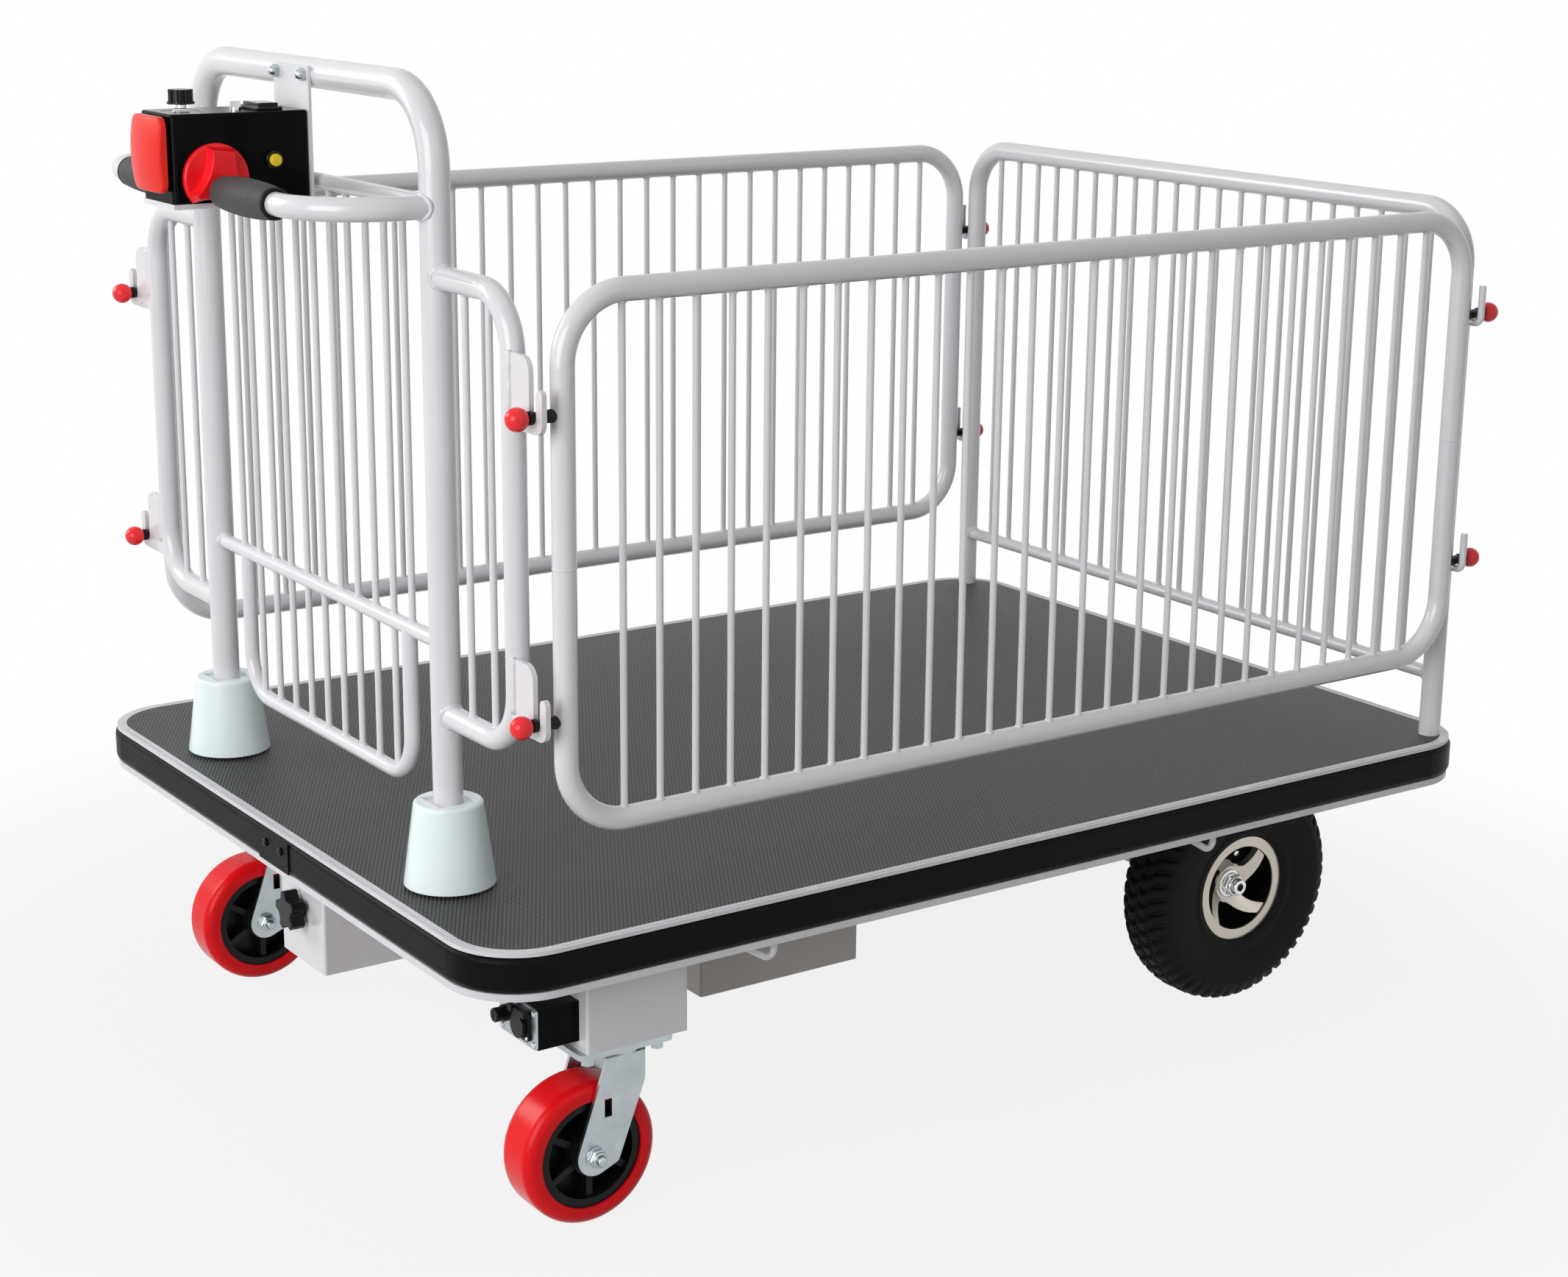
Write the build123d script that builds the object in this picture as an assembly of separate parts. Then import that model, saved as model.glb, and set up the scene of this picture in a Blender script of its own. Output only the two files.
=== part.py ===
from build123d import *
import os
from math import cos, pi, sin

# Electric platform trolley: a decked frame on two casters and a driven axle, a push arch with
# a control head at -X, lift-off side panels and a lift-out rear gate.
# Millimetres, +Z up, floor at Z 0. "Right" is -Y, "left" is +Y, the gate is at +X.

# Deck
DECK_LENGTH = 1330.0        # over the bumper
DECK_WIDTH = 963.0          # over the bumper
DECK_CORNER_R = 78.0
DECK_TOP = 330.0            # mat surface above the floor
EDGE_HEIGHT = 48.5          # edging, top to underside
EDGE_TOP_LIP = 4.3          # lip over the bumper
EDGE_LOW_LIP = 7.4          # lip under the bumper
EDGE_LIP_WIDTH = 10.5       # lip, from the mat outwards
EDGE_WEB = 3.0              # wall behind the bumper
EDGE_GROOVE = 1.6           # square groove in the top lip
EDGE_SEAM = 0.8             # joint between two lengths of edging
GROOVE_BRIDGE = 14.0        # plain length between two runs of groove
BUMPER_PROUD = 2.5          # crown of the bumper past the lips
BUMPER_ROUND = 7.0
MAT_THICK = 4.0
PLATE_THICK = 4.0
BEAM_WIDTH = 40.0           # beams of the ladder frame
BEAM_SPREAD = 360.0         # between the two long beams
JOINT_PLATE_Y = -22.0       # bumper joint, off centre as in the photograph
JOINT_PLATE_LONG = 72.0
JOINT_PLATE_THICK = 1.5
JOINT_SCREW_RISE = 4.0      # screws above the plate's middle
STRAP_HOOK_ROD = 7.5
STRAP_HOOK_LONG = 35.0
STRAP_HOOK_DROP = 22.0
STRAP_HOOK_INSET = 14.5
STRAP_HOOK_X = (-351.0, 239.0)

# Push arch
ARCH_INSET = 78.0           # from the front of the bumper
ARCH_TUBE = 30.0
ARCH_SPAN = 534.0           # between the post axes
ARCH_RISE = 777.0           # top rail above the mat
ARCH_BEND = 73.0
TUBE_WALL = 2.0
GRILLE_RAIL = 16.0
UPPER_RAIL_RISE = 671.0
CROSSBAR_RISE = 247.0
CRADLE_RISE = 88.0
CRADLE_SPAN = 385.0
CRADLE_BEND = 45.0
THIN_ROD = 7.0
ROD_PITCH = 40.0
UPPER_RODS = 11
LOWER_RODS = 9
SOCKET_SIDE = 40.0          # square sockets for the arch posts
SOCKET_WALL = 3.0
SOCKET_RISE = 82.5
SLIP = 0.15                 # play between a post and its hole in a cap plate
BOOT_LOW_D = 92.0
BOOT_TOP_D = 69.0
BOOT_HEIGHT = 85.0
BOOT_ROUND = 4.0
BOOT_PLAY = 0.6
BOOT_LIFT = 3.0             # boot above the mat

# Ears on the arch and their hooks
EAR_TUBE = 23.0
EAR_TO_PANEL = 49.9         # outer tube axis inside the panel's plane
EAR_TOP_RISE = 604.0
EAR_LOW_RISE = 176.0
EAR_BEND = 55.0
EAR_ROD_FIRST = 55.0
EAR_ROD_PITCH = 45.5
EAR_ROD_EDGE = 30.0         # least space from the last rod to the outer tube
HOOK_THICK = 5.0
HOOK_SET_FORWARD = 6.3      # hook plate's middle in front of the arch plane
HOOK_UP = 54.0              # plate top above the pin
HOOK_PRONG_UP = 26.0
HOOK_DOWN = 15.0
HOOK_SLOT = 12.0
HOOK_PRONG = 11.0
HOOK_PLAY = 0.4             # below a resting pin

# Handles
HANDLE_TUBE = 23.0
HANDLE_RISE = 669.0
HANDLE_REACH = 119.0        # arch plane to grip axis
HANDLE_BEND = 82.0
GRIP_D = 37.0               # at the swell
GRIP_END_D = 31.0
GRIP_OUT = 174.0            # outer end from the middle
GRIP_IN = 57.0              # inner end from the middle
GRIP_CAP = 4.0

# Side panels, pins and knobs
PANEL_INSET = 20.1          # panel plane inside the bumper
PANEL_TUBE = 23.0
PANEL_LOW_RISE = 109.0
PANEL_TOP_RISE = 609.5
PANEL_BEND = 65.0
PANEL_ROD = 7.0
PANEL_END_SPACE = 50.0      # least space between a rod and the end tube
PANEL_TO_ARCH = 22.2
PANEL_TO_GATE = 23.7
PIN_D = 10.6
PIN_HIGH_RISE = 501.0
PIN_LOW_RISE = 215.0
KNOB_D = 22.5
KNOB_FRONT = 47.0           # knob centre past the panel's end tube axis
KNOB_REAR = 48.0
PIN_IN_KNOB = 6.0
PIN_CONE_D = 15.0           # flare against the panel's tube
FERRULE_D = 13.0            # collar against the knob
PIN_CLEAR = 1.5             # flare and collar from a hook

# Rear gate
GATE_INSET = 41.4           # gate plane inside the bumper
GATE_SIDE_INSET = 40.5      # post axis inside the bumper
GATE_TUBE = 25.0
GATE_RISE = 615.0
GATE_BEND = 60.0
GATE_RAIL = 16.0
GATE_RAIL_RISE = 73.0
GATE_ROD = 7.0
GATE_ROD_PITCH = 39.0
GATE_END_SPACE = 50.0
GATE_PLAY = 0.5             # radial play of a post in its socket
GATE_SOCKET_D = 34.0
GATE_DEPTH = 40.0           # post below the mat surface
GATE_FLOOR = 6.0
GATE_HOOK_ROD = 8.0
GATE_HOOK_OUT = 11.1        # upright prong past the pin axis
GATE_HOOK_UP = 33.0
GATE_HOOK_BEND = 8.0

# Control head
BRACKET_THICK = 3.0
BRACKET_WIDTH = 80.0
SHELF_THICK = 5.0
BRACKET_OVER = 8.0          # bracket edge above the arch rail axis
BRACKET_BOLT_SPREAD = 62.0
BOLT_D = 6.0
BOLT_PLAY = 0.2
DOME_NUT_D = 11.0
BOX_LONG = 144.0
BOX_WIDE = 76.0
BOX_HIGH = 86.0
BOX_WALL = 3.0
BOX_ROUND = 5.0
BOX_LOW_RISE = 657.0
PAD_SIDE = 73.0
PAD_THICK = 12.0
PAD_GAP = 4.5
PAD_STEM = 12.0
PAD_LIFT = 4.0              # pad centre above the shell's mid height
PAD_CROWN_R = 170.0         # bulge of the pad's face
RUN_PLAY = 0.06             # radial play of turning and sliding stems
DIAL_D = 68.0
DIAL_THICK = 5.5
DIAL_BAR_UP = 10.0
DIAL_DRAFT = 19.0           # degrees the thumb block's sides slope
DIAL_X = -101.0             # from the shell's rear face
DIAL_RISE = 24.0            # from the shell's underside
DIAL_STEM = 10.0
DIAL_GAP = 1.0
HORN_D = 12.4
HORN_X = -39.0
HORN_RISE = 39.0
HORN_STEM = 6.0
HORN_COLLAR_D = 19.0
HORN_COLLAR_UP = 5.0
HORN_UP = 4.0
HORN_TRAVEL = 3.0
KNOB_TOP_D = 24.0
KNOB_FLANGE_D = 27.0
KNOB_TOP_HIGH = 14.0
KNOB_FLUTES = 12
KNOB_TOP_X = -119.0
KNOB_TOP_Y = -5.0
KNOB_STEM = 6.0
BUSH_D = 11.0
BUSH_UP = 7.0
SWITCH_X = -67.0
SWITCH_Y = -15.0
SWITCH_D = 8.0
SWITCH_FLANGE_D = 11.0
GAUGE_X = -37.0
GAUGE_Y = -9.0
GAUGE_LONG = 26.0
GAUGE_WIDE = 45.0
GAUGE_HIGH = 7.0
GAUGE_FRAME = 4.0
LENS_DEPTH = 1.2

# Casters
CASTER_INSET = 192.0        # swivel axis from the front of the bumper
CASTER_TRACK = 774.0
CASTER_HEIGHT = 193.5
CASTER_WHEEL_D = 150.0
CASTER_WHEEL_W = 54.0
CASTER_TREAD = 18.0
CASTER_TRAIL = 39.5
CASTER_PLATE_LONG = 108.0
CASTER_PLATE_SHIFT = -11.0   # plate's middle from the swivel axis
CASTER_PLATE_WIDE = 100.0
CASTER_PLATE_THICK = 6.0
CASTER_BOLT_LONG = 80.0
CASTER_BOLT_WIDE = 76.0
CASTER_BOLT_D = 9.0
CASTER_HEAD_AF = 12.0
CASTER_HEAD_HIGH = 9.0
RACE_D = 66.0
RACE_HIGH = 5.5
RACE_FLARE = 4.0            # race skirt wider at the plate, each side
RACE_GAP = 0.3
KING_PIN_D = 16.0
KING_HEAD_D = 26.0
KING_HEAD_HIGH = 4.0
FORK_THICK = 4.0
FORK_CROWN = 6.0
FORK_GAP = 2.0              # wheel to fork, each side
FORK_FOOT_R = 20.0
FORK_HEEL_R = 6.0           # small corner of the cheek beside the foot
FORK_HEEL = 22.0            # heel corner from the axle
FORK_SLOT = 8.4
FORK_FRONT = 18.5           # crown in front of the swivel axis
FORK_BACK = 25.0
FORK_BULGE_R = 12.0         # rounded rear edge of the cheek
FORK_BULGE_DROP = 22.0      # its centre under the crown
AXLE_D = 12.0
AXLE_NUT_AF = 18.0
AXLE_NUT_HIGH = 9.0
AXLE_STUD_OUT = 6.0         # axle past its nuts
HUB_BOSS_D = 44.0
HUB_SPOKES = 6
HUB_SPOKE_THICK = 7.0
HUB_WEB = 6.0
HUB_RIM = 9.0
PEDESTAL_LONG = 116.0
PEDESTAL_WALL = 4.0

# Charger box on the right pedestal
CHARGER_DEEP = 46.0
CHARGER_WIDE = 72.0
CHARGER_HIGH = 42.0
CHARGER_WALL = 2.0
CHARGER_SHIFT = 1.0         # charger centre off the pedestal's middle, along Y
CHARGER_RISE = 10.5         # underside above the caster plate
FRONT_PLATE_THICK = 2.0
FRONT_SCREW_D = 6.0
SOCKET_BODY_D = 24.0
SOCKET_BORE_D = 16.0
SOCKET_LONG = 16.0
SOCKET_FLANGE_W = 31.0
SOCKET_FLANGE_T = 3.0
SOCKET_Y = -10.0            # from the charger's middle
CAP_D = 29.0
CAP_THICK = 4.0
CAP_GAP = 0.4
CAP_PIN_D = 4.0
FUSE_Y = 21.0
FUSE_D = 14.5
FUSE_LONG = 15.5
FUSE_SKIRT_D = 17.0
FUSE_SKIRT_LONG = 5.0
FUSE_STEM = 9.0

# Controller box at the front
CONTROLLER_INSET = 39.0
CONTROLLER_LONG = 112.0
CONTROLLER_WIDE = 104.0
CONTROLLER_LOW = 167.0
CONTROLLER_WALL = 2.0
INNER_BLOCK_HIGH = 50.0
STAR_D = 44.0
STAR_THICK = 16.0
STAR_LOBES = 5
STAR_FLUTE_R = 9.0
STAR_FLUTE_OUT = 24.0       # flute centres from the knob's axis
STAR_TURN = -80.0           # where the first lobe points
STAR_ROUND = 3.0
STAR_STEM = 8.0
STAR_BOSS_D = 20.0
STAR_BOSS_LONG = 5.0
STAR_Z = 228.0

# Battery tray
TRAY_X = -223.0
TRAY_LONG = 202.0
TRAY_WIDE = 640.0
TRAY_LOW = 167.0
TRAY_WALL = 2.0
BATTERIES = 4
BATTERY_GAP = 4.0
BATTERY_HIGH = 95.0

# Driven axle
DRIVE_INSET = 231.6         # axle from the rear of the bumper
DRIVE_TRACK = 616.0         # between the middles of the tyres
DRIVE_WHEEL_D = 283.0
DRIVE_TYRE_W = 75.0
TYRE_ROUND = 26.0
RIM_D = 128.0
RIM_RING = 12.5
RIM_FACE_IN = 9.5           # rim face inside the tyre's side
RIM_SPOKES = 4
RIM_SPOKE_SWEEP = 36.5      # degrees a spoke turns on its way out
RIM_SPOKE_ROOT = 94.0       # degrees a spoke covers at the hub
RIM_SPOKE_TIP = 12.0        # and at the ring
RIM_SPOKE_TURN = 18.5       # where the first spoke leaves the hub
RIM_RECESS = 20.0           # hub behind the ring's face, the spokes slope between
RIM_SPOKE_SET = 2.5         # spoke tips behind the ring's face
RIM_SPOKE_T = 9.0
RIM_HUB_D = 48.0
RIM_WEB = 4.0               # disc that closes the rim's inner side
SHAFT_D = 20.0
SHAFT_INSIDE = 60.0         # half shaft inside the housing
WHEEL_NUT_AF = 24.0
WHEEL_NUT_HIGH = 8.0
WHEEL_STUD_OUT = 10.0       # shaft past its nut
WHEEL_WASHER_D = 34.0
WHEEL_WASHER_T = 2.0
AXLE_TUBE_D = 48.0
AXLE_TUBE_SHORT = 9.0       # housing end inside the tyre's inner side
GEAR_D = 124.0
GEAR_LONG = 110.0
MOTOR_D = 104.0
MOTOR_LONG = 200.0
HANGER_LONG = 80.0
HANGER_THICK = 10.0

# Worked-out positions, from the middle of the deck
deck_low = DECK_TOP - EDGE_HEIGHT
plate_low = DECK_TOP - MAT_THICK - PLATE_THICK
mat_inset = BUMPER_PROUD + EDGE_LIP_WIDTH
cup_low = DECK_TOP - GATE_DEPTH - GATE_FLOOR
arch_x = -DECK_LENGTH / 2 + ARCH_INSET
arch_y = ARCH_SPAN / 2
arch_top = DECK_TOP + ARCH_RISE
hook_x = arch_x - HOOK_SET_FORWARD
gate_x = DECK_LENGTH / 2 - GATE_INSET
gate_y = DECK_WIDTH / 2 - GATE_SIDE_INSET
panel_y = DECK_WIDTH / 2 - PANEL_INSET
ear_y = panel_y - EAR_TO_PANEL
panel_front = arch_x + PANEL_TO_ARCH
panel_rear = gate_x - PANEL_TO_GATE
pin_heights = (DECK_TOP + PIN_HIGH_RISE, DECK_TOP + PIN_LOW_RISE)
knob_front = panel_front - KNOB_FRONT
knob_rear = panel_rear + KNOB_REAR
caster_x = -DECK_LENGTH / 2 + CASTER_INSET
caster_y = CASTER_TRACK / 2
caster_plate_x = caster_x + CASTER_PLATE_SHIFT
caster_axle_x = caster_x - CASTER_TRAIL
caster_axle_z = CASTER_WHEEL_D / 2
caster_plate_low = CASTER_HEIGHT - CASTER_PLATE_THICK
crown_top = caster_plate_low - RACE_HIGH - RACE_GAP
pedestal_front = caster_x - PEDESTAL_LONG / 2
charger_front = pedestal_front - CHARGER_DEEP
charger_y = -caster_y + CHARGER_SHIFT
charger_low = CASTER_HEIGHT + CHARGER_RISE
charger_mid = charger_low + CHARGER_HIGH / 2
front_plate_face = charger_front - FRONT_PLATE_THICK
controller_front = -DECK_LENGTH / 2 + CONTROLLER_INSET
drive_x = DECK_LENGTH / 2 - DRIVE_INSET
drive_y = DRIVE_TRACK / 2
drive_z = DRIVE_WHEEL_D / 2
rim_face = DRIVE_TYRE_W / 2 - RIM_FACE_IN
housing_end = drive_y - DRIVE_TYRE_W / 2 - AXLE_TUBE_SHORT
bracket_rear = arch_x - ARCH_TUBE / 2
box_rear = bracket_rear - BRACKET_THICK
box_front = box_rear - BOX_LONG
box_low = DECK_TOP + BOX_LOW_RISE
box_top = box_low + BOX_HIGH
pad_back = box_front - PAD_GAP
pad_front = pad_back - PAD_THICK
pad_z = box_low + BOX_HIGH / 2 + PAD_LIFT
handle_z = DECK_TOP + HANDLE_RISE
handle_x = arch_x - HANDLE_REACH

# The origin is the middle of the whole outline, on the floor
origin = Pos(-(pad_front + DECK_LENGTH / 2) / 2, 0, 0)

LOW = (Align.CENTER, Align.CENTER, Align.MIN)


def save(name, *solids):
    """Move the solids to the shared origin and write them as one node."""
    moved = [origin * body for shape in solids for body in shape.solids()]
    export_step(moved[0] if len(moved) == 1 else Compound(moved), f"parts/{name}.step")


def block(x0, x1, y0, y1, z0, z1):
    """Box between two corners."""
    middle = Pos((x0 + x1) / 2, (y0 + y1) / 2, (z0 + z1) / 2)
    return middle * Box(abs(x1 - x0), abs(y1 - y0), abs(z1 - z0))


def rod(start, end, diameter):
    """Round bar between two points."""
    run = Vector(*end) - Vector(*start)
    return Plane(origin=start, z_dir=run) * Cylinder(diameter / 2, run.length, align=LOW)


def bent(points, bend, diameter):
    """Round bar along straight runs with bent corners."""
    path = FilletPolyline(*points, radius=bend)
    return sweep(Plane(origin=path @ 0, z_dir=path % 0) * Circle(diameter / 2), path=path)


def hexagon(centre, along, across_flats, high):
    """Hexagon prism standing on a point."""
    flat = RegularPolygon(across_flats / 2, 6, major_radius=False)
    return extrude(Plane(origin=centre, z_dir=along) * flat, high)


def row(count, pitch):
    """Evenly spaced offsets about zero."""
    return [(i - (count - 1) / 2) * pitch for i in range(count)]


def rods_between(span, space, pitch):
    """Offsets of as many rods as fit a span, with the least space kept at both ends."""
    return row(int((span - 2 * space) / pitch) + 1, pitch)


def outline(inset, low, high):
    """Slab with the deck's outline, drawn in by an inset."""
    flat = RectangleRounded(DECK_LENGTH - 2 * inset, DECK_WIDTH - 2 * inset, DECK_CORNER_R - inset)
    return Pos(0, 0, low) * extrude(flat, high - low)


# Deck


def deck_edging():
    """Channel all round, open outwards, with a broken groove in the top lip."""
    ring = outline(BUMPER_PROUD, deck_low, DECK_TOP) - outline(mat_inset, deck_low, DECK_TOP)
    channel_low, channel_top = deck_low + EDGE_LOW_LIP, DECK_TOP - EDGE_TOP_LIP
    ring -= outline(0, channel_low, channel_top) - outline(mat_inset - EDGE_WEB, channel_low, channel_top)
    line = mat_inset - EDGE_LIP_WIDTH * 0.6
    for length, width, turn, runs in ((DECK_LENGTH, DECK_WIDTH, 0, 4), (DECK_WIDTH, DECK_LENGTH, 90, 3)):
        pitch = (length - 2 * DECK_CORNER_R) / runs
        for along in row(runs, pitch):
            for side in (-1, 1):
                cut = Box(pitch - GROOVE_BRIDGE, EDGE_GROOVE, 2 * EDGE_GROOVE)
                ring -= Rot(0, 0, turn) * Pos(along, side * (width / 2 - line), DECK_TOP) * cut
        for end in row(2, length - 2 * DECK_CORNER_R):
            for side in (-1, 1):
                seam = Pos(end, side * width / 2, DECK_TOP) * Box(EDGE_SEAM, 2 * mat_inset, 2 * EDGE_SEAM)
                ring -= Rot(0, 0, turn) * seam
    return ring


def bumper_strip():
    """Rounded rubber strip filling the channel."""
    low, top = deck_low + EDGE_LOW_LIP, DECK_TOP - EDGE_TOP_LIP
    slab = outline(0, low, top)
    rims = slab.faces().sort_by(Axis.Z)[0].edges() + slab.faces().sort_by(Axis.Z)[-1].edges()
    return fillet(rims, BUMPER_ROUND) - outline(mat_inset - EDGE_WEB, low, top)


def bumper_joint():
    """Thin plate over the bumper's joint, with two screw heads."""
    low, top = deck_low + EDGE_LOW_LIP + 1.5, DECK_TOP - EDGE_TOP_LIP - 1.5
    face = -DECK_LENGTH / 2
    y0, y1 = JOINT_PLATE_Y - JOINT_PLATE_LONG / 2, JOINT_PLATE_Y + JOINT_PLATE_LONG / 2
    plate = block(face - JOINT_PLATE_THICK, face, y0, y1, low, top)
    for y in (y0 + JOINT_PLATE_LONG / 4, y1 - JOINT_PLATE_LONG / 4):
        head, z = face - JOINT_PLATE_THICK, (low + top) / 2 + JOINT_SCREW_RISE
        plate += rod((head - 1.5, y, z), (head + 0.5, y, z), 9)
    return plate


def post_holes(low, high, square, round_d):
    """Cutters for the arch sockets and the gate posts."""
    cuts = []
    for side in (-1, 1):
        half = square / 2
        y = side * arch_y
        cuts.append(block(arch_x - half, arch_x + half, y - half, y + half, low, high))
        cuts.append(rod((gate_x, side * gate_y, low), (gate_x, side * gate_y, high), round_d))
    return cuts


def deck_plate():
    """Steel sheet under the mat."""
    top = plate_low + PLATE_THICK
    return outline(mat_inset, plate_low, top) - post_holes(plate_low, top, SOCKET_SIDE, GATE_SOCKET_D)


def deck_mat():
    """Rubber mat with holes for the posts."""
    low = DECK_TOP - MAT_THICK
    holes = post_holes(low, DECK_TOP, SOCKET_SIDE, GATE_TUBE + 2 * GATE_PLAY)
    return outline(mat_inset, low, DECK_TOP) - holes


def deck_frame():
    """Ladder frame inside the edging."""
    end = DECK_LENGTH / 2 - mat_inset
    side = DECK_WIDTH / 2 - mat_inset
    inner = side - BEAM_WIDTH
    frame = outline(mat_inset, deck_low, plate_low)
    frame -= block(-end + BEAM_WIDTH, end - BEAM_WIDTH, -inner, inner, deck_low, plate_low)
    tray_front, tray_rear = TRAY_X - TRAY_LONG / 2, TRAY_X + TRAY_LONG / 2
    for x0, x1 in (
        (-end + BEAM_WIDTH, arch_x + SOCKET_SIDE / 2 + TUBE_WALL),
        (caster_x - BEAM_WIDTH / 2, caster_x + BEAM_WIDTH / 2),
        (tray_front - BEAM_WIDTH / 4, tray_front + BEAM_WIDTH * 3 / 4),
        (tray_rear - BEAM_WIDTH * 3 / 4, tray_rear + BEAM_WIDTH / 4),
    ):
        frame += block(x0, x1, -inner, inner, deck_low, plate_low)
    for y in row(2, BEAM_SPREAD):
        y0, y1 = y - BEAM_WIDTH / 2, y + BEAM_WIDTH / 2
        frame += block(tray_rear, end - BEAM_WIDTH, y0, y1, deck_low, plate_low)
    for s in (-1, 1):
        frame -= rod((gate_x, s * gate_y, cup_low), (gate_x, s * gate_y, plate_low), GATE_SOCKET_D)
    return frame


def post_sockets():
    """Two capped square tubes for the arch and two round cups for the gate."""
    solids = []
    half, hollow = SOCKET_SIDE / 2, SOCKET_SIDE / 2 - SOCKET_WALL
    top = DECK_TOP + SOCKET_RISE
    for side in (-1, 1):
        y = side * arch_y
        floor = plate_low + PLATE_THICK
        tube = block(arch_x - half, arch_x + half, y - half, y + half, plate_low, top + SOCKET_WALL)
        tube -= block(arch_x - hollow, arch_x + hollow, y - hollow, y + hollow, floor, top)
        tube -= rod((arch_x, y, floor), (arch_x, y, top + SOCKET_WALL), ARCH_TUBE + 2 * SLIP)
        solids.append(tube)
        y = side * gate_y
        cup = rod((gate_x, y, cup_low), (gate_x, y, floor), GATE_SOCKET_D)
        cup -= rod((gate_x, y, cup_low + GATE_FLOOR), (gate_x, y, DECK_TOP), GATE_TUBE + 2 * GATE_PLAY)
        solids.append(cup - (outline(0, deck_low, DECK_TOP) - outline(mat_inset, deck_low, DECK_TOP)))
    return solids


def strap_hooks():
    """Bent rods under the long edges, each with one slanting leg and one upright leg."""
    solids = []
    for x in STRAP_HOOK_X:
        for side in (-1, 1):
            y = side * (DECK_WIDTH / 2 - STRAP_HOOK_INSET)
            x0, x1 = x - STRAP_HOOK_LONG / 2, x + STRAP_HOOK_LONG / 2
            low = deck_low - STRAP_HOOK_DROP
            hook = bent([(x0, y, deck_low), (x1, y, low), (x1, y, deck_low)], STRAP_HOOK_ROD, STRAP_HOOK_ROD)
            solids.append(hook & outline(0, low - STRAP_HOOK_ROD, deck_low))
    return solids


# Push arch


def arch_bar(diameter):
    """The arch's bent outline at a given diameter."""
    foot = plate_low + PLATE_THICK
    y, x = arch_y, arch_x
    return bent([(x, -y, foot), (x, -y, arch_top), (x, y, arch_top), (x, y, foot)], ARCH_BEND, diameter)


def bolt_lines(reach, diameter):
    """Rods on the axes of the bracket bolts, from the front of the bracket backwards."""
    front = box_rear - reach
    back = arch_x + ARCH_TUBE / 2 + reach
    return [rod((front, y, arch_top), (back, y, arch_top), diameter) for y in row(2, BRACKET_BOLT_SPREAD)]


def push_arch():
    """Hollow arch, drilled for the bracket bolts."""
    return arch_bar(ARCH_TUBE) - arch_bar(ARCH_TUBE - 2 * TUBE_WALL) - bolt_lines(0, BOLT_D + 2 * BOLT_PLAY)


def front_grille():
    """Rails, cradle and thin rods, coped to the arch posts."""
    upper, cross, low = DECK_TOP + UPPER_RAIL_RISE, DECK_TOP + CROSSBAR_RISE, DECK_TOP + CRADLE_RISE
    x, half = arch_x, CRADLE_SPAN / 2
    bars = [rod((x, y, cross), (x, y, upper), THIN_ROD) for y in row(UPPER_RODS, ROD_PITCH)]
    bars += [rod((x, y, low), (x, y, cross), THIN_ROD) for y in row(LOWER_RODS, ROD_PITCH)]
    bars.append(rod((x, -arch_y, upper), (x, arch_y, upper), GRILLE_RAIL))
    corners = [(x, -half, cross), (x, -half, low), (x, half, low), (x, half, cross)]
    cradle = bent(corners, CRADLE_BEND, GRILLE_RAIL)
    grille = rod((x, -arch_y, cross), (x, arch_y, cross), GRILLE_RAIL) + cradle + bars
    return grille - arch_bar(ARCH_TUBE)


def ear_bar(side, diameter):
    """One ear's bent outline at a given diameter."""
    top, low = DECK_TOP + EAR_TOP_RISE, DECK_TOP + EAR_LOW_RISE
    x, y0, y1 = arch_x, side * arch_y, side * ear_y
    return bent([(x, y0, top), (x, y1, top), (x, y1, low), (x, y0, low)], EAR_BEND, diameter)


def ear(side):
    """Wing frame with its rods, coped to the arch post."""
    top, low = DECK_TOP + EAR_TOP_RISE, DECK_TOP + EAR_LOW_RISE
    rods = []
    count = int((ear_y - arch_y - EAR_ROD_FIRST - EAR_ROD_EDGE) / EAR_ROD_PITCH) + 1
    for i in range(count):
        y = side * (arch_y + EAR_ROD_FIRST + i * EAR_ROD_PITCH)
        rods.append(rod((arch_x, y, low), (arch_x, y, top), THIN_ROD))
    return ear_bar(side, EAR_TUBE) + rods - ear_bar(side, EAR_TUBE - 2 * TUBE_WALL) - arch_bar(ARCH_TUBE)


def hook_plate(side, z):
    """Flat J with its slot open upwards, its root coped to the ear's tube."""
    root, slot_in, slot_out = ear_y, panel_y - HOOK_SLOT / 2, panel_y + HOOK_SLOT / 2
    tip = slot_out + HOOK_PRONG
    floor = z - PIN_D / 2 - HOOK_PLAY
    top, prong, low = z + HOOK_UP, z + HOOK_PRONG_UP, z - HOOK_DOWN
    flat = Polygon(
        (root, low), (tip, low), (tip, prong), (slot_out, prong),
        (slot_out, floor), (slot_in, floor), (slot_in, top), (root, top), align=None,
    )
    for y, corner_z, radius in (
        (tip, low, 12.0), (tip, prong, HOOK_PRONG * 0.45), (slot_out, prong, HOOK_PRONG * 0.45),
        (slot_out, floor, HOOK_SLOT * 0.49), (slot_in, floor, HOOK_SLOT * 0.49), (slot_in, top, 14.0),
    ):
        flat = fillet(flat.vertices().sort_by_distance((y, corner_z, 0))[0], radius)
    if side < 0:
        flat = mirror(flat, about=Plane.YZ)
    face = Plane(origin=(hook_x - HOOK_THICK / 2, 0, 0), x_dir=(0, 1, 0), z_dir=(1, 0, 0))
    return extrude(face * flat, HOOK_THICK) - ear_bar(side, EAR_TUBE)


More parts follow.
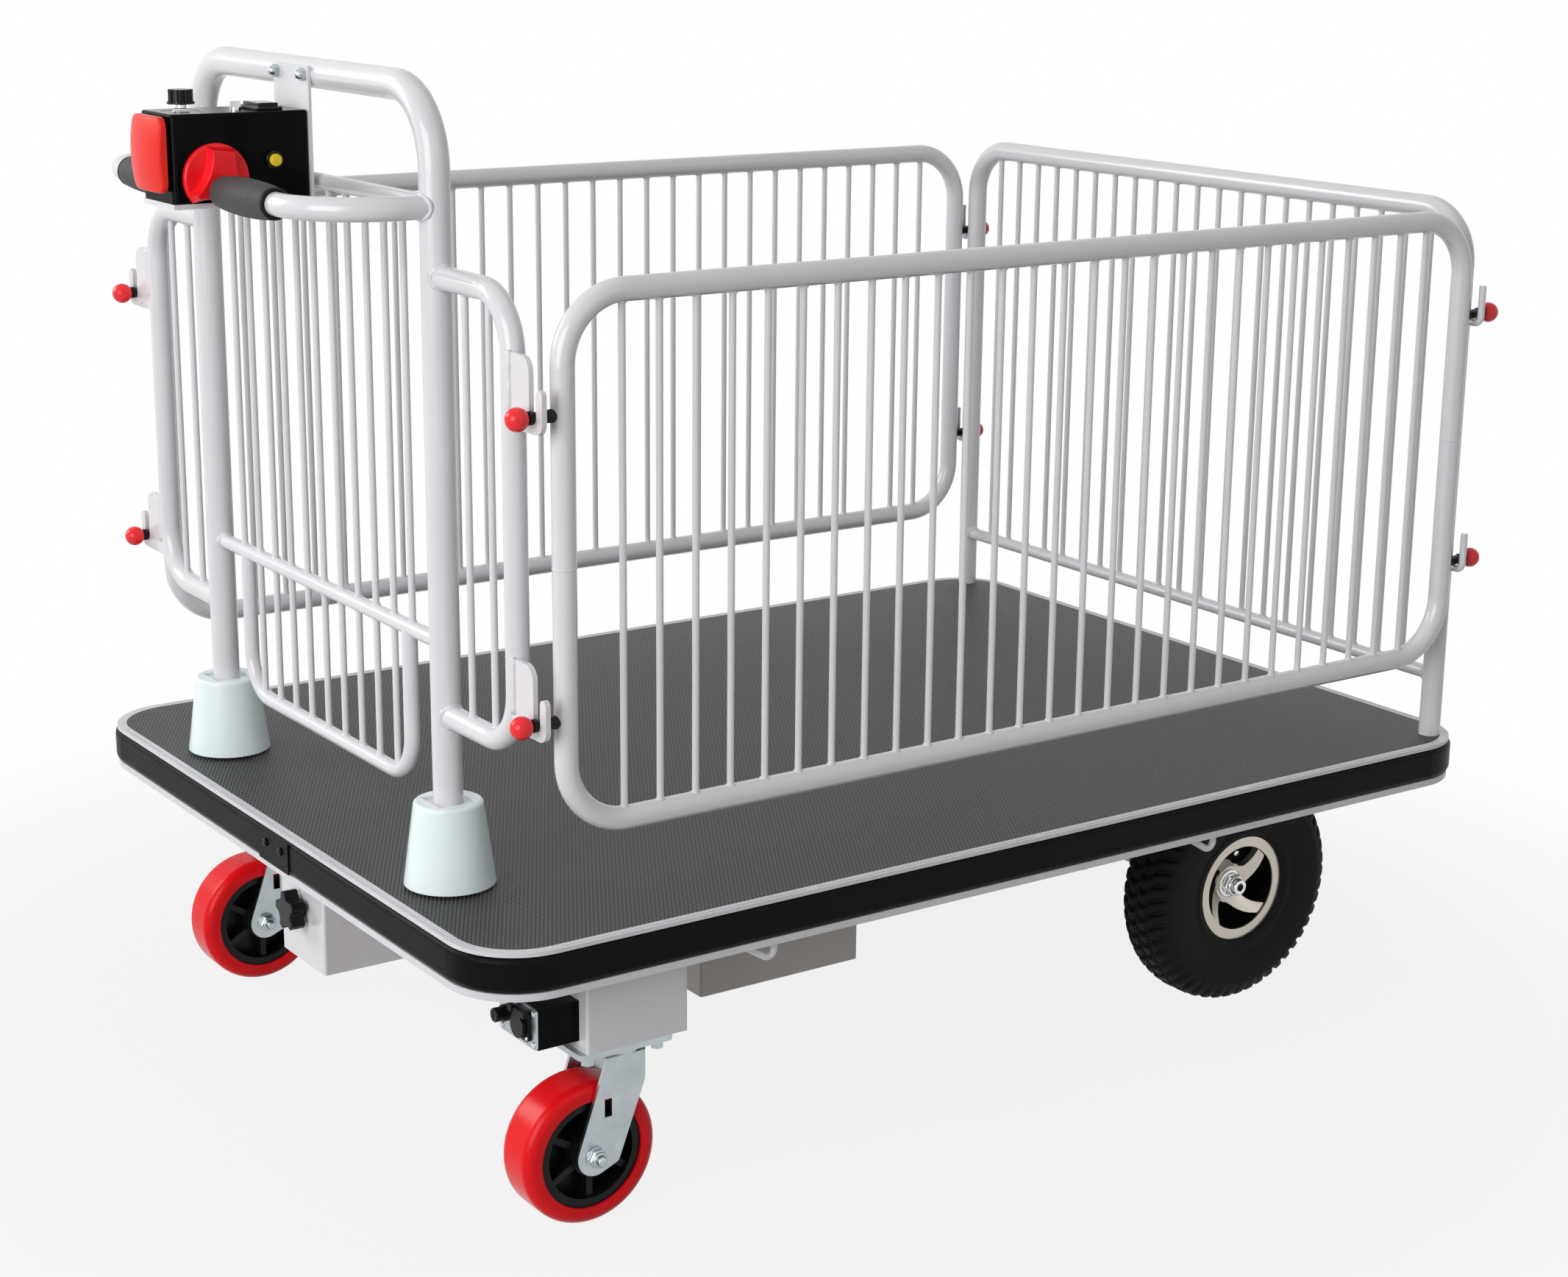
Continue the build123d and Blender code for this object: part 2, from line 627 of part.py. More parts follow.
def handle_arm(side):
    """L-shaped tube from the arch post to the end of its grip."""
    y0, y1 = side * arch_y, side * (GRIP_IN + GRIP_CAP)
    points = [(arch_x, y0, handle_z), (handle_x, y0, handle_z), (handle_x, y1, handle_z)]
    tube = bent(points, HANDLE_BEND, HANDLE_TUBE) - bent(points, HANDLE_BEND, HANDLE_TUBE - 2 * TUBE_WALL)
    return tube - arch_bar(ARCH_TUBE)


def hand_grip(side):
    """Swelling foam sleeve with a closed inner end."""
    length, end, swell = GRIP_OUT - GRIP_IN, GRIP_END_D / 2, GRIP_D / 2
    edges = [ThreePointArc((end, 0), (swell, length / 2), (end, length))]
    edges += Polyline((end, length), (0, length), (0, 0), (end, 0)).edges()
    sleeve = revolve(make_face(edges), Axis.Y)
    sleeve = fillet(sleeve.edges().filter_by(GeomType.CIRCLE), 3.0)
    sleeve = Pos(handle_x, min(side * GRIP_IN, side * GRIP_OUT), handle_z) * sleeve
    start = (handle_x, side * GRIP_OUT, handle_z)
    return sleeve - rod(start, (handle_x, side * (GRIP_IN + GRIP_CAP), handle_z), HANDLE_TUBE)


def boot(side):
    """Conical cover over a square socket."""
    cone = Cone(BOOT_LOW_D / 2, BOOT_TOP_D / 2, BOOT_HEIGHT, align=LOW)
    cone = fillet(cone.edges().sort_by(Axis.Z)[-1], BOOT_ROUND)
    hole = SOCKET_SIDE + 2 * BOOT_PLAY
    cone -= Box(hole, hole, BOOT_HEIGHT, align=LOW)
    return Pos(arch_x, side * arch_y, DECK_TOP + BOOT_LIFT) * cone


# Side panels


def panel_bar(side, diameter):
    """One panel's rounded outline at a given diameter, made of two halves."""
    y, low, top = side * panel_y, DECK_TOP + PANEL_LOW_RISE, DECK_TOP + PANEL_TOP_RISE
    middle = (panel_front + panel_rear) / 2
    halves = []
    for end in (panel_front, panel_rear):
        points = [(middle, y, low), (end, y, low), (end, y, top), (middle, y, top)]
        halves.append(bent(points, PANEL_BEND, diameter))
    return halves[0] + halves[1]


def side_panel(side):
    """Hollow tube frame filled with upright rods."""
    y, low, top = side * panel_y, DECK_TOP + PANEL_LOW_RISE, DECK_TOP + PANEL_TOP_RISE
    middle = (panel_front + panel_rear) / 2
    rods = []
    for offset in rods_between(panel_rear - panel_front, PANEL_END_SPACE, ROD_PITCH):
        rods.append(rod((middle + offset, y, low), (middle + offset, y, top), PANEL_ROD))
    return panel_bar(side, PANEL_TUBE) + rods - panel_bar(side, PANEL_TUBE - 2 * TUBE_WALL)


def panel_pins(side):
    """Four pins along X, flared and coped to the panel's end tubes, with a collar at the knob."""
    y = side * panel_y
    rear_hook, front_hook = GATE_HOOK_ROD / 2 + PIN_CLEAR, HOOK_THICK / 2 + PIN_CLEAR
    solids = []
    for z in pin_heights:
        for tube_x, knob_x, way, hook, half in (
            (panel_front, knob_front, -1, hook_x, front_hook),
            (panel_rear, knob_rear, 1, gate_x, rear_hook),
        ):
            pin = rod((tube_x, y, z), (knob_x - way * PIN_IN_KNOB, y, z), PIN_D)
            flare = abs(hook - tube_x) - half
            cone = Cone(PIN_CONE_D / 2, PIN_D / 2, flare, align=LOW)
            pin += Plane(origin=(tube_x, y, z), z_dir=(way, 0, 0)) * cone
            pin += rod((hook + way * half, y, z), (knob_x - way * KNOB_D * 0.48, y, z), FERRULE_D)
            pin -= Pos(knob_x, y, z) * Rot(0, 0, 90) * Sphere(KNOB_D / 2 + RUN_PLAY)
            pin += rod((hook, y, z), (knob_x - way * PIN_IN_KNOB, y, z), PIN_D)
            solids.append(pin - rod((tube_x, y, z - PIN_CONE_D), (tube_x, y, z + PIN_CONE_D), PANEL_TUBE))
    return solids


def panel_knobs(side):
    """Four balls on the ends of the pins."""
    y = side * panel_y
    solids = []
    for z in pin_heights:
        for tube_x, knob_x in ((panel_front, knob_front), (panel_rear, knob_rear)):
            into = PIN_IN_KNOB if knob_x > tube_x else -PIN_IN_KNOB
            ball = Pos(knob_x, y, z) * Rot(0, 0, 90) * Sphere(KNOB_D / 2)
            solids.append(ball - rod((tube_x, y, z), (knob_x - into, y, z), PIN_D + 2 * RUN_PLAY))
    return solids


# Rear gate


def gate_bar(diameter):
    """The gate's bent outline at a given diameter."""
    foot, top = DECK_TOP - GATE_DEPTH, DECK_TOP + GATE_RISE
    x, y = gate_x, gate_y
    return bent([(x, -y, foot), (x, -y, top), (x, y, top), (x, y, foot)], GATE_BEND, diameter)


def rear_gate():
    """Hollow tube frame with a lower rail and upright rods."""
    low, top = DECK_TOP + GATE_RAIL_RISE, DECK_TOP + GATE_RISE
    bars = [rod((gate_x, -gate_y, low), (gate_x, gate_y, low), GATE_RAIL)]
    for y in rods_between(2 * gate_y, GATE_END_SPACE, GATE_ROD_PITCH):
        bars.append(rod((gate_x, y, low), (gate_x, y, top), GATE_ROD))
    return gate_bar(GATE_TUBE) + bars - gate_bar(GATE_TUBE - 2 * TUBE_WALL)


def gate_hook(side, z):
    """Bent rod under a pin, coped to the gate post."""
    low = z - PIN_D / 2 - HOOK_PLAY - GATE_HOOK_ROD / 2
    out = side * (panel_y + GATE_HOOK_OUT)
    points = [(gate_x, side * gate_y, low), (gate_x, out, low), (gate_x, out, z + GATE_HOOK_UP)]
    hook = bent(points, GATE_HOOK_BEND, GATE_HOOK_ROD)
    return hook - rod((gate_x, side * gate_y, low - PIN_D), (gate_x, side * gate_y, low + PIN_D), GATE_TUBE)


# Control head


def control_bracket():
    """L-shaped sheet: a back plate bolted to the arch and a shelf under the shell."""
    half, shelf, low = BRACKET_WIDTH / 2, BOX_WIDE / 2, box_low - SHELF_THICK
    sheet = block(box_rear, bracket_rear, -half, half, low, arch_top + BRACKET_OVER)
    sheet += block(box_front, bracket_rear, -shelf, shelf, low, box_low)
    return sheet - bolt_lines(0, BOLT_D + 2 * BOLT_PLAY)


def hex_bolts():
    """Bracket bolts with dome nuts, and the bolts of the caster plates."""
    solids = []
    rear = arch_x + ARCH_TUBE / 2
    for y in row(2, BRACKET_BOLT_SPREAD):
        bolt = rod((box_rear - 4, y, arch_top), (rear, y, arch_top), BOLT_D)
        bolt += hexagon((rear, y, arch_top), (1, 0, 0), DOME_NUT_D, 4)
        bolt += hexagon((box_rear, y, arch_top), (-1, 0, 0), DOME_NUT_D, 5)
        dome = Pos(box_rear - 5, y, arch_top) * Sphere(DOME_NUT_D * 0.45)
        bolt += dome & block(box_rear - 20, box_rear - 4.5, y - 10, y + 10, arch_top - 10, arch_top + 10)
        solids.append(bolt)
    for side in (-1, 1):
        for dx in row(2, CASTER_BOLT_LONG):
            for dy in row(2, CASTER_BOLT_WIDE):
                x, y = caster_plate_x + dx, side * caster_y + dy
                bolt = rod((x, y, caster_plate_low), (x, y, CASTER_HEIGHT + PEDESTAL_WALL), CASTER_BOLT_D)
                head = hexagon((x, y, caster_plate_low), (0, 0, -1), CASTER_HEAD_AF, CASTER_HEAD_HIGH)
                solids.append(bolt + head)
    return solids


def box_stem(kind, diameter, inner=True):
    """Rod on the axis of one control, from outside the shell to its inside."""
    deep = 14.0 if inner else BOX_WALL
    side = -BOX_WIDE / 2
    if kind == "pad":
        return rod((pad_back - 1, 0, pad_z), (box_front + deep, 0, pad_z), diameter)
    if kind == "dial":
        x, z = box_rear + DIAL_X, box_low + DIAL_RISE
        return rod((x, side - DIAL_GAP - 1, z), (x, side + deep, z), diameter)
    if kind == "horn":
        x, z = box_rear + HORN_X, box_low + HORN_RISE
        return rod((x, side - HORN_TRAVEL - 2, z), (x, side + deep, z), diameter)
    if kind == "knob":
        x, y = box_rear + KNOB_TOP_X, KNOB_TOP_Y
        return rod((x, y, box_top + BUSH_UP + 2), (x, y, box_top - deep), diameter)
    x, y = box_rear + SWITCH_X, SWITCH_Y
    return rod((x, y, box_top + 1), (x, y, box_top - deep), diameter)


def control_box():
    """Moulded shell, open underneath, drilled for its controls."""
    half = BOX_WIDE / 2
    shell = block(box_front, box_rear, -half, half, box_low, box_top)
    shell = fillet(shell.edges().filter_by(Axis.Z), BOX_ROUND)
    shell = fillet(shell.faces().sort_by(Axis.Z)[-1].edges(), BOX_ROUND / 2)
    wall = BOX_WALL
    shell -= block(box_front + wall, box_rear - wall, -half + wall, half - wall, box_low, box_top - wall)
    for kind, stem in (("pad", PAD_STEM), ("dial", DIAL_STEM), ("horn", HORN_STEM), ("switch", SWITCH_D)):
        shell -= box_stem(kind, stem + 2 * RUN_PLAY)
    return shell - box_stem("knob", BUSH_D)


def emergency_pad():
    """Cushion-shaped pad on a plunger."""
    half = PAD_SIDE / 2
    pad = block(pad_front, pad_back, -half, half, pad_z - half, pad_z + half)
    pad = fillet(pad.edges().filter_by(Axis.X), PAD_SIDE / 7)
    pad &= Pos(pad_front + PAD_CROWN_R, 0, pad_z) * Sphere(PAD_CROWN_R)
    pad = fillet(pad.faces().sort_by(Axis.X)[0].edges(), PAD_THICK / 4)
    return pad + box_stem("pad", PAD_STEM)


def throttle_dial():
    """Disc cut away below, with a hollow-sided thumb block, on a shaft."""
    x, z = box_rear + DIAL_X, box_low + DIAL_RISE
    back = -BOX_WIDE / 2 - DIAL_GAP
    face = back - DIAL_THICK
    disc = rod((x, back, z), (x, face, z), DIAL_D)
    disc = fillet(disc.edges().sort_by(Axis.Y)[0], 3.0)
    top_near, top_far = (-11.2, 32), (18.4, 28.1)
    low_near, low_far = (-30, -13.6), (28.1, -13.6)
    foot_near, foot_far = (-25.2, -22.3), (23.3, -23.3)
    foot = ThreePointArc(foot_near, (-2.9, -19.9), foot_far)
    outline = [
        Line(top_far, top_near),
        ThreePointArc(top_near, (-12.8, 10.7), low_near),
        Line(low_near, foot_near),
        foot,
        Line(foot_far, low_far),
        ThreePointArc(low_far, (19.9, 8.7), top_far),
    ]
    plane = Plane(origin=(x, face, z), x_dir=(1, 0, 0), z_dir=(0, -1, 0))
    under = make_face([foot, Polyline(foot_far, (23.3, -DIAL_D), (-25.2, -DIAL_D), foot_near)])
    disc -= extrude(plane * under, -DIAL_THICK)
    thumb = extrude(plane * make_face(outline), DIAL_BAR_UP, taper=DIAL_DRAFT)
    thumb = fillet(thumb.faces().sort_by(Axis.Y)[0].edges(), 1.2)
    return disc + thumb + box_stem("dial", DIAL_STEM)


def horn_button():
    """Button head on a plunger."""
    x, z = box_rear + HORN_X, box_low + HORN_RISE
    seat = -BOX_WIDE / 2 - HORN_TRAVEL - 1
    tip = -BOX_WIDE / 2 - HORN_COLLAR_UP - HORN_UP
    head = rod((x, seat, z), (x, tip, z), HORN_D)
    return fillet(head.edges().sort_by(Axis.Y)[0], 2.0) + box_stem("horn", HORN_STEM)


def control_bushes():
    """Collar round the button and bush under the top knob."""
    x, z = box_rear + HORN_X, box_low + HORN_RISE
    side = -BOX_WIDE / 2
    collar = rod((x, side, z), (x, side - HORN_COLLAR_UP, z), HORN_COLLAR_D)
    collar -= rod((x, side, z), (x, side - HORN_COLLAR_UP, z), HORN_D + 8 * RUN_PLAY)
    x, y = box_rear + KNOB_TOP_X, KNOB_TOP_Y
    bush = rod((x, y, box_top - BOX_WALL - 3), (x, y, box_top + BUSH_UP), BUSH_D)
    bush += hexagon((x, y, box_top), (0, 0, 1), BUSH_D * 1.3, BUSH_UP * 0.5)
    return collar, bush - box_stem("knob", KNOB_STEM + 2 * RUN_PLAY)


def speed_knob():
    """Fluted knob with a flange, on a spindle."""
    x, y = box_rear + KNOB_TOP_X, KNOB_TOP_Y
    low = box_top + BUSH_UP + 0.5
    grip = Circle(KNOB_TOP_D / 2)
    for i in range(KNOB_FLUTES):
        turn = 2 * pi * i / KNOB_FLUTES
        flute = Circle(KNOB_TOP_D / KNOB_FLUTES)
        grip -= Pos(KNOB_TOP_D / 2 * cos(turn), KNOB_TOP_D / 2 * sin(turn)) * flute
    knob = Pos(x, y, low) * extrude(grip, KNOB_TOP_HIGH)
    knob += Pos(x, y, low) * Cylinder(KNOB_FLANGE_D / 2, 2.5, align=LOW)
    return knob + box_stem("knob", KNOB_STEM)


def power_switch():
    """Key-type switch: barrel, flange and finger blade."""
    x, y = box_rear + SWITCH_X, SWITCH_Y
    flange = Pos(x, y, box_top + 0.3) * Cylinder(SWITCH_FLANGE_D / 2, 3, align=LOW)
    blade = Pos(x, y, box_top) * Box(SWITCH_D * 1.3, 3, 9, align=LOW)
    return box_stem("switch", SWITCH_D) + flange + blade


def battery_gauge():
    """Bezel on the lid and the window set into it."""
    x, y = box_rear + GAUGE_X, GAUGE_Y
    bezel = Pos(x, y, box_top) * Box(GAUGE_LONG, GAUGE_WIDE, GAUGE_HIGH, align=LOW)
    bezel = fillet(bezel.edges().filter_by(Axis.Z), 3.0)
    window = Box(GAUGE_LONG - 2 * GAUGE_FRAME, GAUGE_WIDE - 2 * GAUGE_FRAME, LENS_DEPTH, align=LOW)
    window = Pos(x, y, box_top + GAUGE_HIGH - LENS_DEPTH) * window
    return bezel - window, window


# Casters


def pedestal(side):
    """Box welded under the frame, with a floor for the caster bolts."""
    half_x, half_y = PEDESTAL_LONG / 2, CASTER_PLATE_WIDE / 2
    x, y, w = caster_x, side * caster_y, PEDESTAL_WALL
    shell = block(x - half_x, x + half_x, y - half_y, y + half_y, CASTER_HEIGHT, deck_low)
    shell = fillet(shell.edges().filter_by(Axis.Z), 3.0)
    half_x, half_y = half_x - w, half_y - w
    shell -= block(x - half_x, x + half_x, y - half_y, y + half_y, CASTER_HEIGHT + w, deck_low)
    return shell - caster_bolt_holes(side, CASTER_HEIGHT, CASTER_HEIGHT + w)


def caster_bolt_holes(side, low, high):
    """Cutters at the four bolts of one caster."""
    holes = []
    for dx in row(2, CASTER_BOLT_LONG):
        for dy in row(2, CASTER_BOLT_WIDE):
            x, y = caster_plate_x + dx, side * caster_y + dy
            holes.append(rod((x, y, low), (x, y, high), CASTER_BOLT_D))
    return holes


def caster_plate(side):
    """Top plate with its race and the headed king pin."""
    x, y = caster_x, side * caster_y
    low = caster_plate_low
    plate = Pos(caster_plate_x, y, low) * Box(CASTER_PLATE_LONG, CASTER_PLATE_WIDE, CASTER_PLATE_THICK, align=LOW)
    plate = fillet(plate.edges().filter_by(Axis.Z), 8.0) - caster_bolt_holes(side, low, CASTER_HEIGHT)
    plate += Pos(x, y, low - RACE_HIGH) * Cone(RACE_D / 2, RACE_D / 2 + RACE_FLARE, RACE_HIGH, align=LOW)
    head = crown_top - FORK_CROWN - RACE_HIGH - RACE_GAP
    plate += rod((x, y, low), (x, y, head - KING_HEAD_HIGH), KING_PIN_D)
    return plate + rod((x, y, head), (x, y, head - KING_HEAD_HIGH), KING_HEAD_D)


def caster_fork(side):
    """Crown with its race and two cheeks down to the axle."""
    x, y = caster_x, side * caster_y
    inner = CASTER_WHEEL_W / 2 + FORK_GAP
    outer = inner + FORK_THICK
    crown_low = crown_top - RACE_HIGH - FORK_CROWN
    top = Rectangle(FORK_FRONT + FORK_BACK, 2 * outer)
    crown = make_hull((Pos((FORK_FRONT - FORK_BACK) / 2, 0) * top + Circle(RACE_D / 2)).edges())
    fork = Pos(x, y, crown_low) * extrude(crown, FORK_CROWN)
    fork += rod((x, y, crown_low + FORK_CROWN), (x, y, crown_top), RACE_D)
    shoulder = Pos((FORK_FRONT - FORK_BACK) / 2, crown_low + FORK_CROWN / 2 - 7)
    foot = Pos(-CASTER_TRAIL, caster_axle_z) * Circle(FORK_FOOT_R)
    foot += Pos(FORK_HEEL - CASTER_TRAIL, caster_axle_z - FORK_HEEL_R) * Circle(FORK_HEEL_R)
    bulge = Pos(FORK_FRONT - FORK_BULGE_R, crown_low - FORK_BULGE_DROP) * Circle(FORK_BULGE_R)
    flat = make_hull((shoulder * Rectangle(FORK_FRONT + FORK_BACK, FORK_CROWN + 14) + foot + bulge).edges())
    for way in (-1, 1):
        face = Plane(origin=(x, y + way * inner, 0), x_dir=(1, 0, 0), z_dir=(0, -1, 0))
        fork += extrude(face * flat, -way * FORK_THICK)
    fork -= rod((x, y, crown_low - 1), (x, y, crown_top), KING_PIN_D + 2 * RUN_PLAY)
    slot = Pos(x - CASTER_TRAIL * 0.62, y, caster_axle_z + 49) * Box(FORK_SLOT, 3 * outer, 2.3 * FORK_SLOT)
    return fork - slot - caster_axle_rod(side, AXLE_D)


def caster_axle_rod(side, diameter):
    """Rod on a caster's axle line, out to the nuts."""
    reach = CASTER_WHEEL_W / 2 + FORK_GAP + FORK_THICK + AXLE_NUT_HIGH + AXLE_STUD_OUT
    y = side * caster_y
    x, z = caster_axle_x, caster_axle_z
    return rod((x, y - reach, z), (x, y + reach, z), diameter)


def caster_axle(side):
    """Axle with a nut at each end."""
    axle = caster_axle_rod(side, AXLE_D)
    seat = CASTER_WHEEL_W / 2 + FORK_GAP + FORK_THICK
    for way in (-1, 1):
        centre = (caster_axle_x, side * caster_y + way * seat, caster_axle_z)
        axle += hexagon(centre, (0, way, 0), AXLE_NUT_AF, AXLE_NUT_HIGH)
    return axle


def caster_hub(side):
    """Moulded wheel centre: boss, web, spokes and rim."""
    middle = Pos(caster_axle_x, side * caster_y, caster_axle_z) * Rot(90, 0, 0)
    outer = CASTER_WHEEL_D / 2 - CASTER_TREAD
    width = CASTER_WHEEL_W - 6
    hub = Cylinder(outer, width) - Cylinder(outer - HUB_RIM, width)
    hub += Cylinder(outer - 1, HUB_WEB)
    hub += Cylinder(HUB_BOSS_D / 2, CASTER_WHEEL_W)
    for i in range(HUB_SPOKES):
        spoke = Pos(outer / 2, 0, 0) * Box(outer - HUB_RIM / 2, HUB_SPOKE_THICK, width - 8)
        hub += Rot(0, 0, 360 / HUB_SPOKES * (i + 0.5)) * spoke
    return middle * (hub - Cylinder(AXLE_D / 2 + RUN_PLAY, CASTER_WHEEL_W))


def caster_tyre(side):
    """Rounded tread ring."""
    middle = Pos(caster_axle_x, side * caster_y, caster_axle_z) * Rot(90, 0, 0)
    ring = Cylinder(CASTER_WHEEL_D / 2, CASTER_WHEEL_W)
    ring = fillet(ring.edges().filter_by(GeomType.CIRCLE), CASTER_TREAD * 0.6)
    return middle * (ring - Cylinder(CASTER_WHEEL_D / 2 - CASTER_TREAD, CASTER_WHEEL_W))


# Charger box


def charger_box():
    """Sheet box open at the front, against the pedestal."""
    y0, y1, w = charger_y - CHARGER_WIDE / 2, charger_y + CHARGER_WIDE / 2, CHARGER_WALL
    z1 = charger_low + CHARGER_HIGH
    shell = block(charger_front, pedestal_front, y0, y1, charger_low, z1)
    return shell - block(charger_front, pedestal_front - w, y0 + w, y1 - w, charger_low + w, z1 - w)


def charger_plate():
    """Front plate with its corner screws, bored for the socket and the fuse."""
    y0, y1, z1 = charger_y - CHARGER_WIDE / 2, charger_y + CHARGER_WIDE / 2, charger_low + CHARGER_HIGH
    plate = block(front_plate_face, charger_front, y0, y1, charger_low, z1)
    plate = fillet(plate.edges().filter_by(Axis.X), 3.0)
    margin = FRONT_SCREW_D * 0.8
    for y in (y0 + margin, y1 - margin):
        for z in (charger_low + margin, z1 - margin):
            plate += rod((charger_front, y, z), (front_plate_face - 1.5, y, z), FRONT_SCREW_D)
    y = charger_y + SOCKET_Y
    plate -= rod((charger_front, y, charger_mid), (front_plate_face, y, charger_mid), SOCKET_BODY_D)
    y = charger_y + FUSE_Y
    fuse_hole = FUSE_STEM + 2 * RUN_PLAY
    return plate - rod((charger_front, y, charger_mid), (front_plate_face, y, charger_mid), fuse_hole)


def charge_socket():
    """Flanged socket with a blind bore and two ears for the cap's pin."""
    y, z, face = charger_y + SOCKET_Y, charger_mid, front_plate_face
    half, front = SOCKET_FLANGE_W / 2, face - SOCKET_FLANGE_T
    socket = block(front, face, y - half, y + half, z - half, z + half)
    socket = fillet(socket.edges().filter_by(Axis.X), 4.0)
    socket += rod((face, y, z), (front + SOCKET_LONG + 2, y, z), SOCKET_BODY_D)
    socket -= rod((front, y, z), (front + SOCKET_LONG, y, z), SOCKET_BORE_D)
    x, top = cap_pin()
    for way in (-1, 1):
        y0, y1 = y + way * (CAP_D / 4 + CAP_GAP), y + way * half
        lug = block(x - CAP_PIN_D * 0.8, front + 0.5, y0, y1, top - CAP_PIN_D * 0.8, top + CAP_PIN_D * 0.8)
        socket += lug
    return socket - rod((x, y - CAP_D, top), (x, y + CAP_D, top), CAP_PIN_D + 2 * RUN_PLAY)


def cap_pin():
    """Where the cap's hinge pin lies, in X and Z."""
    x = front_plate_face - SOCKET_FLANGE_T - CAP_GAP - CAP_THICK / 2
    return x, charger_mid + SOCKET_FLANGE_W / 2 - CAP_PIN_D / 2


def charge_cap():
    """Round cap with a neck on its hinge pin."""
    y, z = charger_y + SOCKET_Y, charger_mid
    x, top = cap_pin()
    x0, x1 = x - CAP_THICK / 2, x + CAP_THICK / 2
    cap = rod((x0, y, z - 1.5), (x1, y, z - 1.5), CAP_D - 4)
    cap += block(x0, x1, y - CAP_D / 4, y + CAP_D / 4, z, top)
    half = SOCKET_FLANGE_W / 2
    return cap + rod((x, y - half, top), (x, y + half, top), CAP_PIN_D)


def fuse_cap():
    """Screw-in cap on a stem."""
    y, z = charger_y + FUSE_Y, charger_mid
    cap = rod((front_plate_face - 0.3, y, z), (front_plate_face - FUSE_LONG, y, z), FUSE_D)
    cap = fillet(cap.edges().sort_by(Axis.X)[0], 1.5)
    cap -= Pos(front_plate_face - FUSE_LONG, y, z) * Box(3, 2, FUSE_D * 0.7)
    cap += rod((front_plate_face - 0.3, y, z), (front_plate_face - FUSE_SKIRT_LONG, y, z), FUSE_SKIRT_D)
    return cap + rod((front_plate_face - 1, y, z), (charger_front + 12, y, z), FUSE_STEM)


# Boxes under the deck


def open_tray(x0, x1, half, low, wall):
    """Sheet tray open at the top, up against the frame."""
    tray = fillet(block(x0, x1, -half, half, low, deck_low).edges().filter_by(Axis.Z), 3.0)
    return tray - block(x0 + wall, x1 - wall, -half + wall, half - wall, low + wall, deck_low)


def controller_box():
    """Tray for the motor controller, drilled for the star knob."""
    x0 = controller_front
    tray = open_tray(x0, x0 + CONTROLLER_LONG, CONTROLLER_WIDE / 2, CONTROLLER_LOW, CONTROLLER_WALL)
    return tray - rod((x0 - 1, 0, STAR_Z), (x0 + 5, 0, STAR_Z), STAR_STEM + 2 * RUN_PLAY)


def motor_controller():
    """Finned block on the tray's floor."""
    x0, x1 = controller_front + 30, controller_front + CONTROLLER_LONG - 8
    low = CONTROLLER_LOW + CONTROLLER_WALL
    half = CONTROLLER_WIDE / 2 - 10
    unit = block(x0, x1, -half, half, low, low + INNER_BLOCK_HIGH)
    for y in row(7, 2 * half / 7):
        unit -= block(x0, x1, y - 2.5, y + 2.5, low + INNER_BLOCK_HIGH - 12, low + INNER_BLOCK_HIGH)
    return unit


def star_knob():
    """Deeply fluted knob on a stem through the tray's front."""
    face = controller_front
    lobes = Circle(STAR_D / 2)
    for i in range(STAR_LOBES):
        turn = (360 * (i + 0.5) / STAR_LOBES + STAR_TURN) * pi / 180
        lobes -= Pos(STAR_FLUTE_OUT * cos(turn), STAR_FLUTE_OUT * sin(turn)) * Circle(STAR_FLUTE_R)
    lobes = fillet(lobes.vertices(), STAR_ROUND)
    plane = Plane(origin=(face - 0.3 - STAR_BOSS_LONG, 0, STAR_Z), x_dir=(0, 1, 0), z_dir=(-1, 0, 0))
    knob = extrude(plane * lobes, STAR_THICK)
    knob = fillet(knob.edges().group_by(Axis.X)[0], STAR_ROUND / 2)
    knob += rod((face - 0.3, 0, STAR_Z), (face - 1 - STAR_BOSS_LONG, 0, STAR_Z), STAR_BOSS_D)
    return knob + rod((face - 2, 0, STAR_Z), (face + 15, 0, STAR_Z), STAR_STEM)


def battery_tray():
    """Wide tray across the frame."""
    return open_tray(TRAY_X - TRAY_LONG / 2, TRAY_X + TRAY_LONG / 2, TRAY_WIDE / 2, TRAY_LOW, TRAY_WALL)


def batteries():
    """Row of blocks on the tray's floor, each with two terminals."""
    inside = TRAY_WIDE - 2 * TRAY_WALL
    pitch = inside / BATTERIES
    half = TRAY_LONG / 2 - TRAY_WALL - BATTERY_GAP
    low = TRAY_LOW + TRAY_WALL
    solids = []
    for y in row(BATTERIES, pitch):
        y0, y1 = y - pitch / 2 + BATTERY_GAP / 2, y + pitch / 2 - BATTERY_GAP / 2
        battery = block(TRAY_X - half, TRAY_X + half, y0, y1, low, low + BATTERY_HIGH)
        for dx in (-half * 0.7, half * 0.7):
            battery += Pos(TRAY_X + dx, y, low + BATTERY_HIGH) * Cylinder(7, 10, align=LOW)
        solids.append(battery)
    return solids


# Driven axle


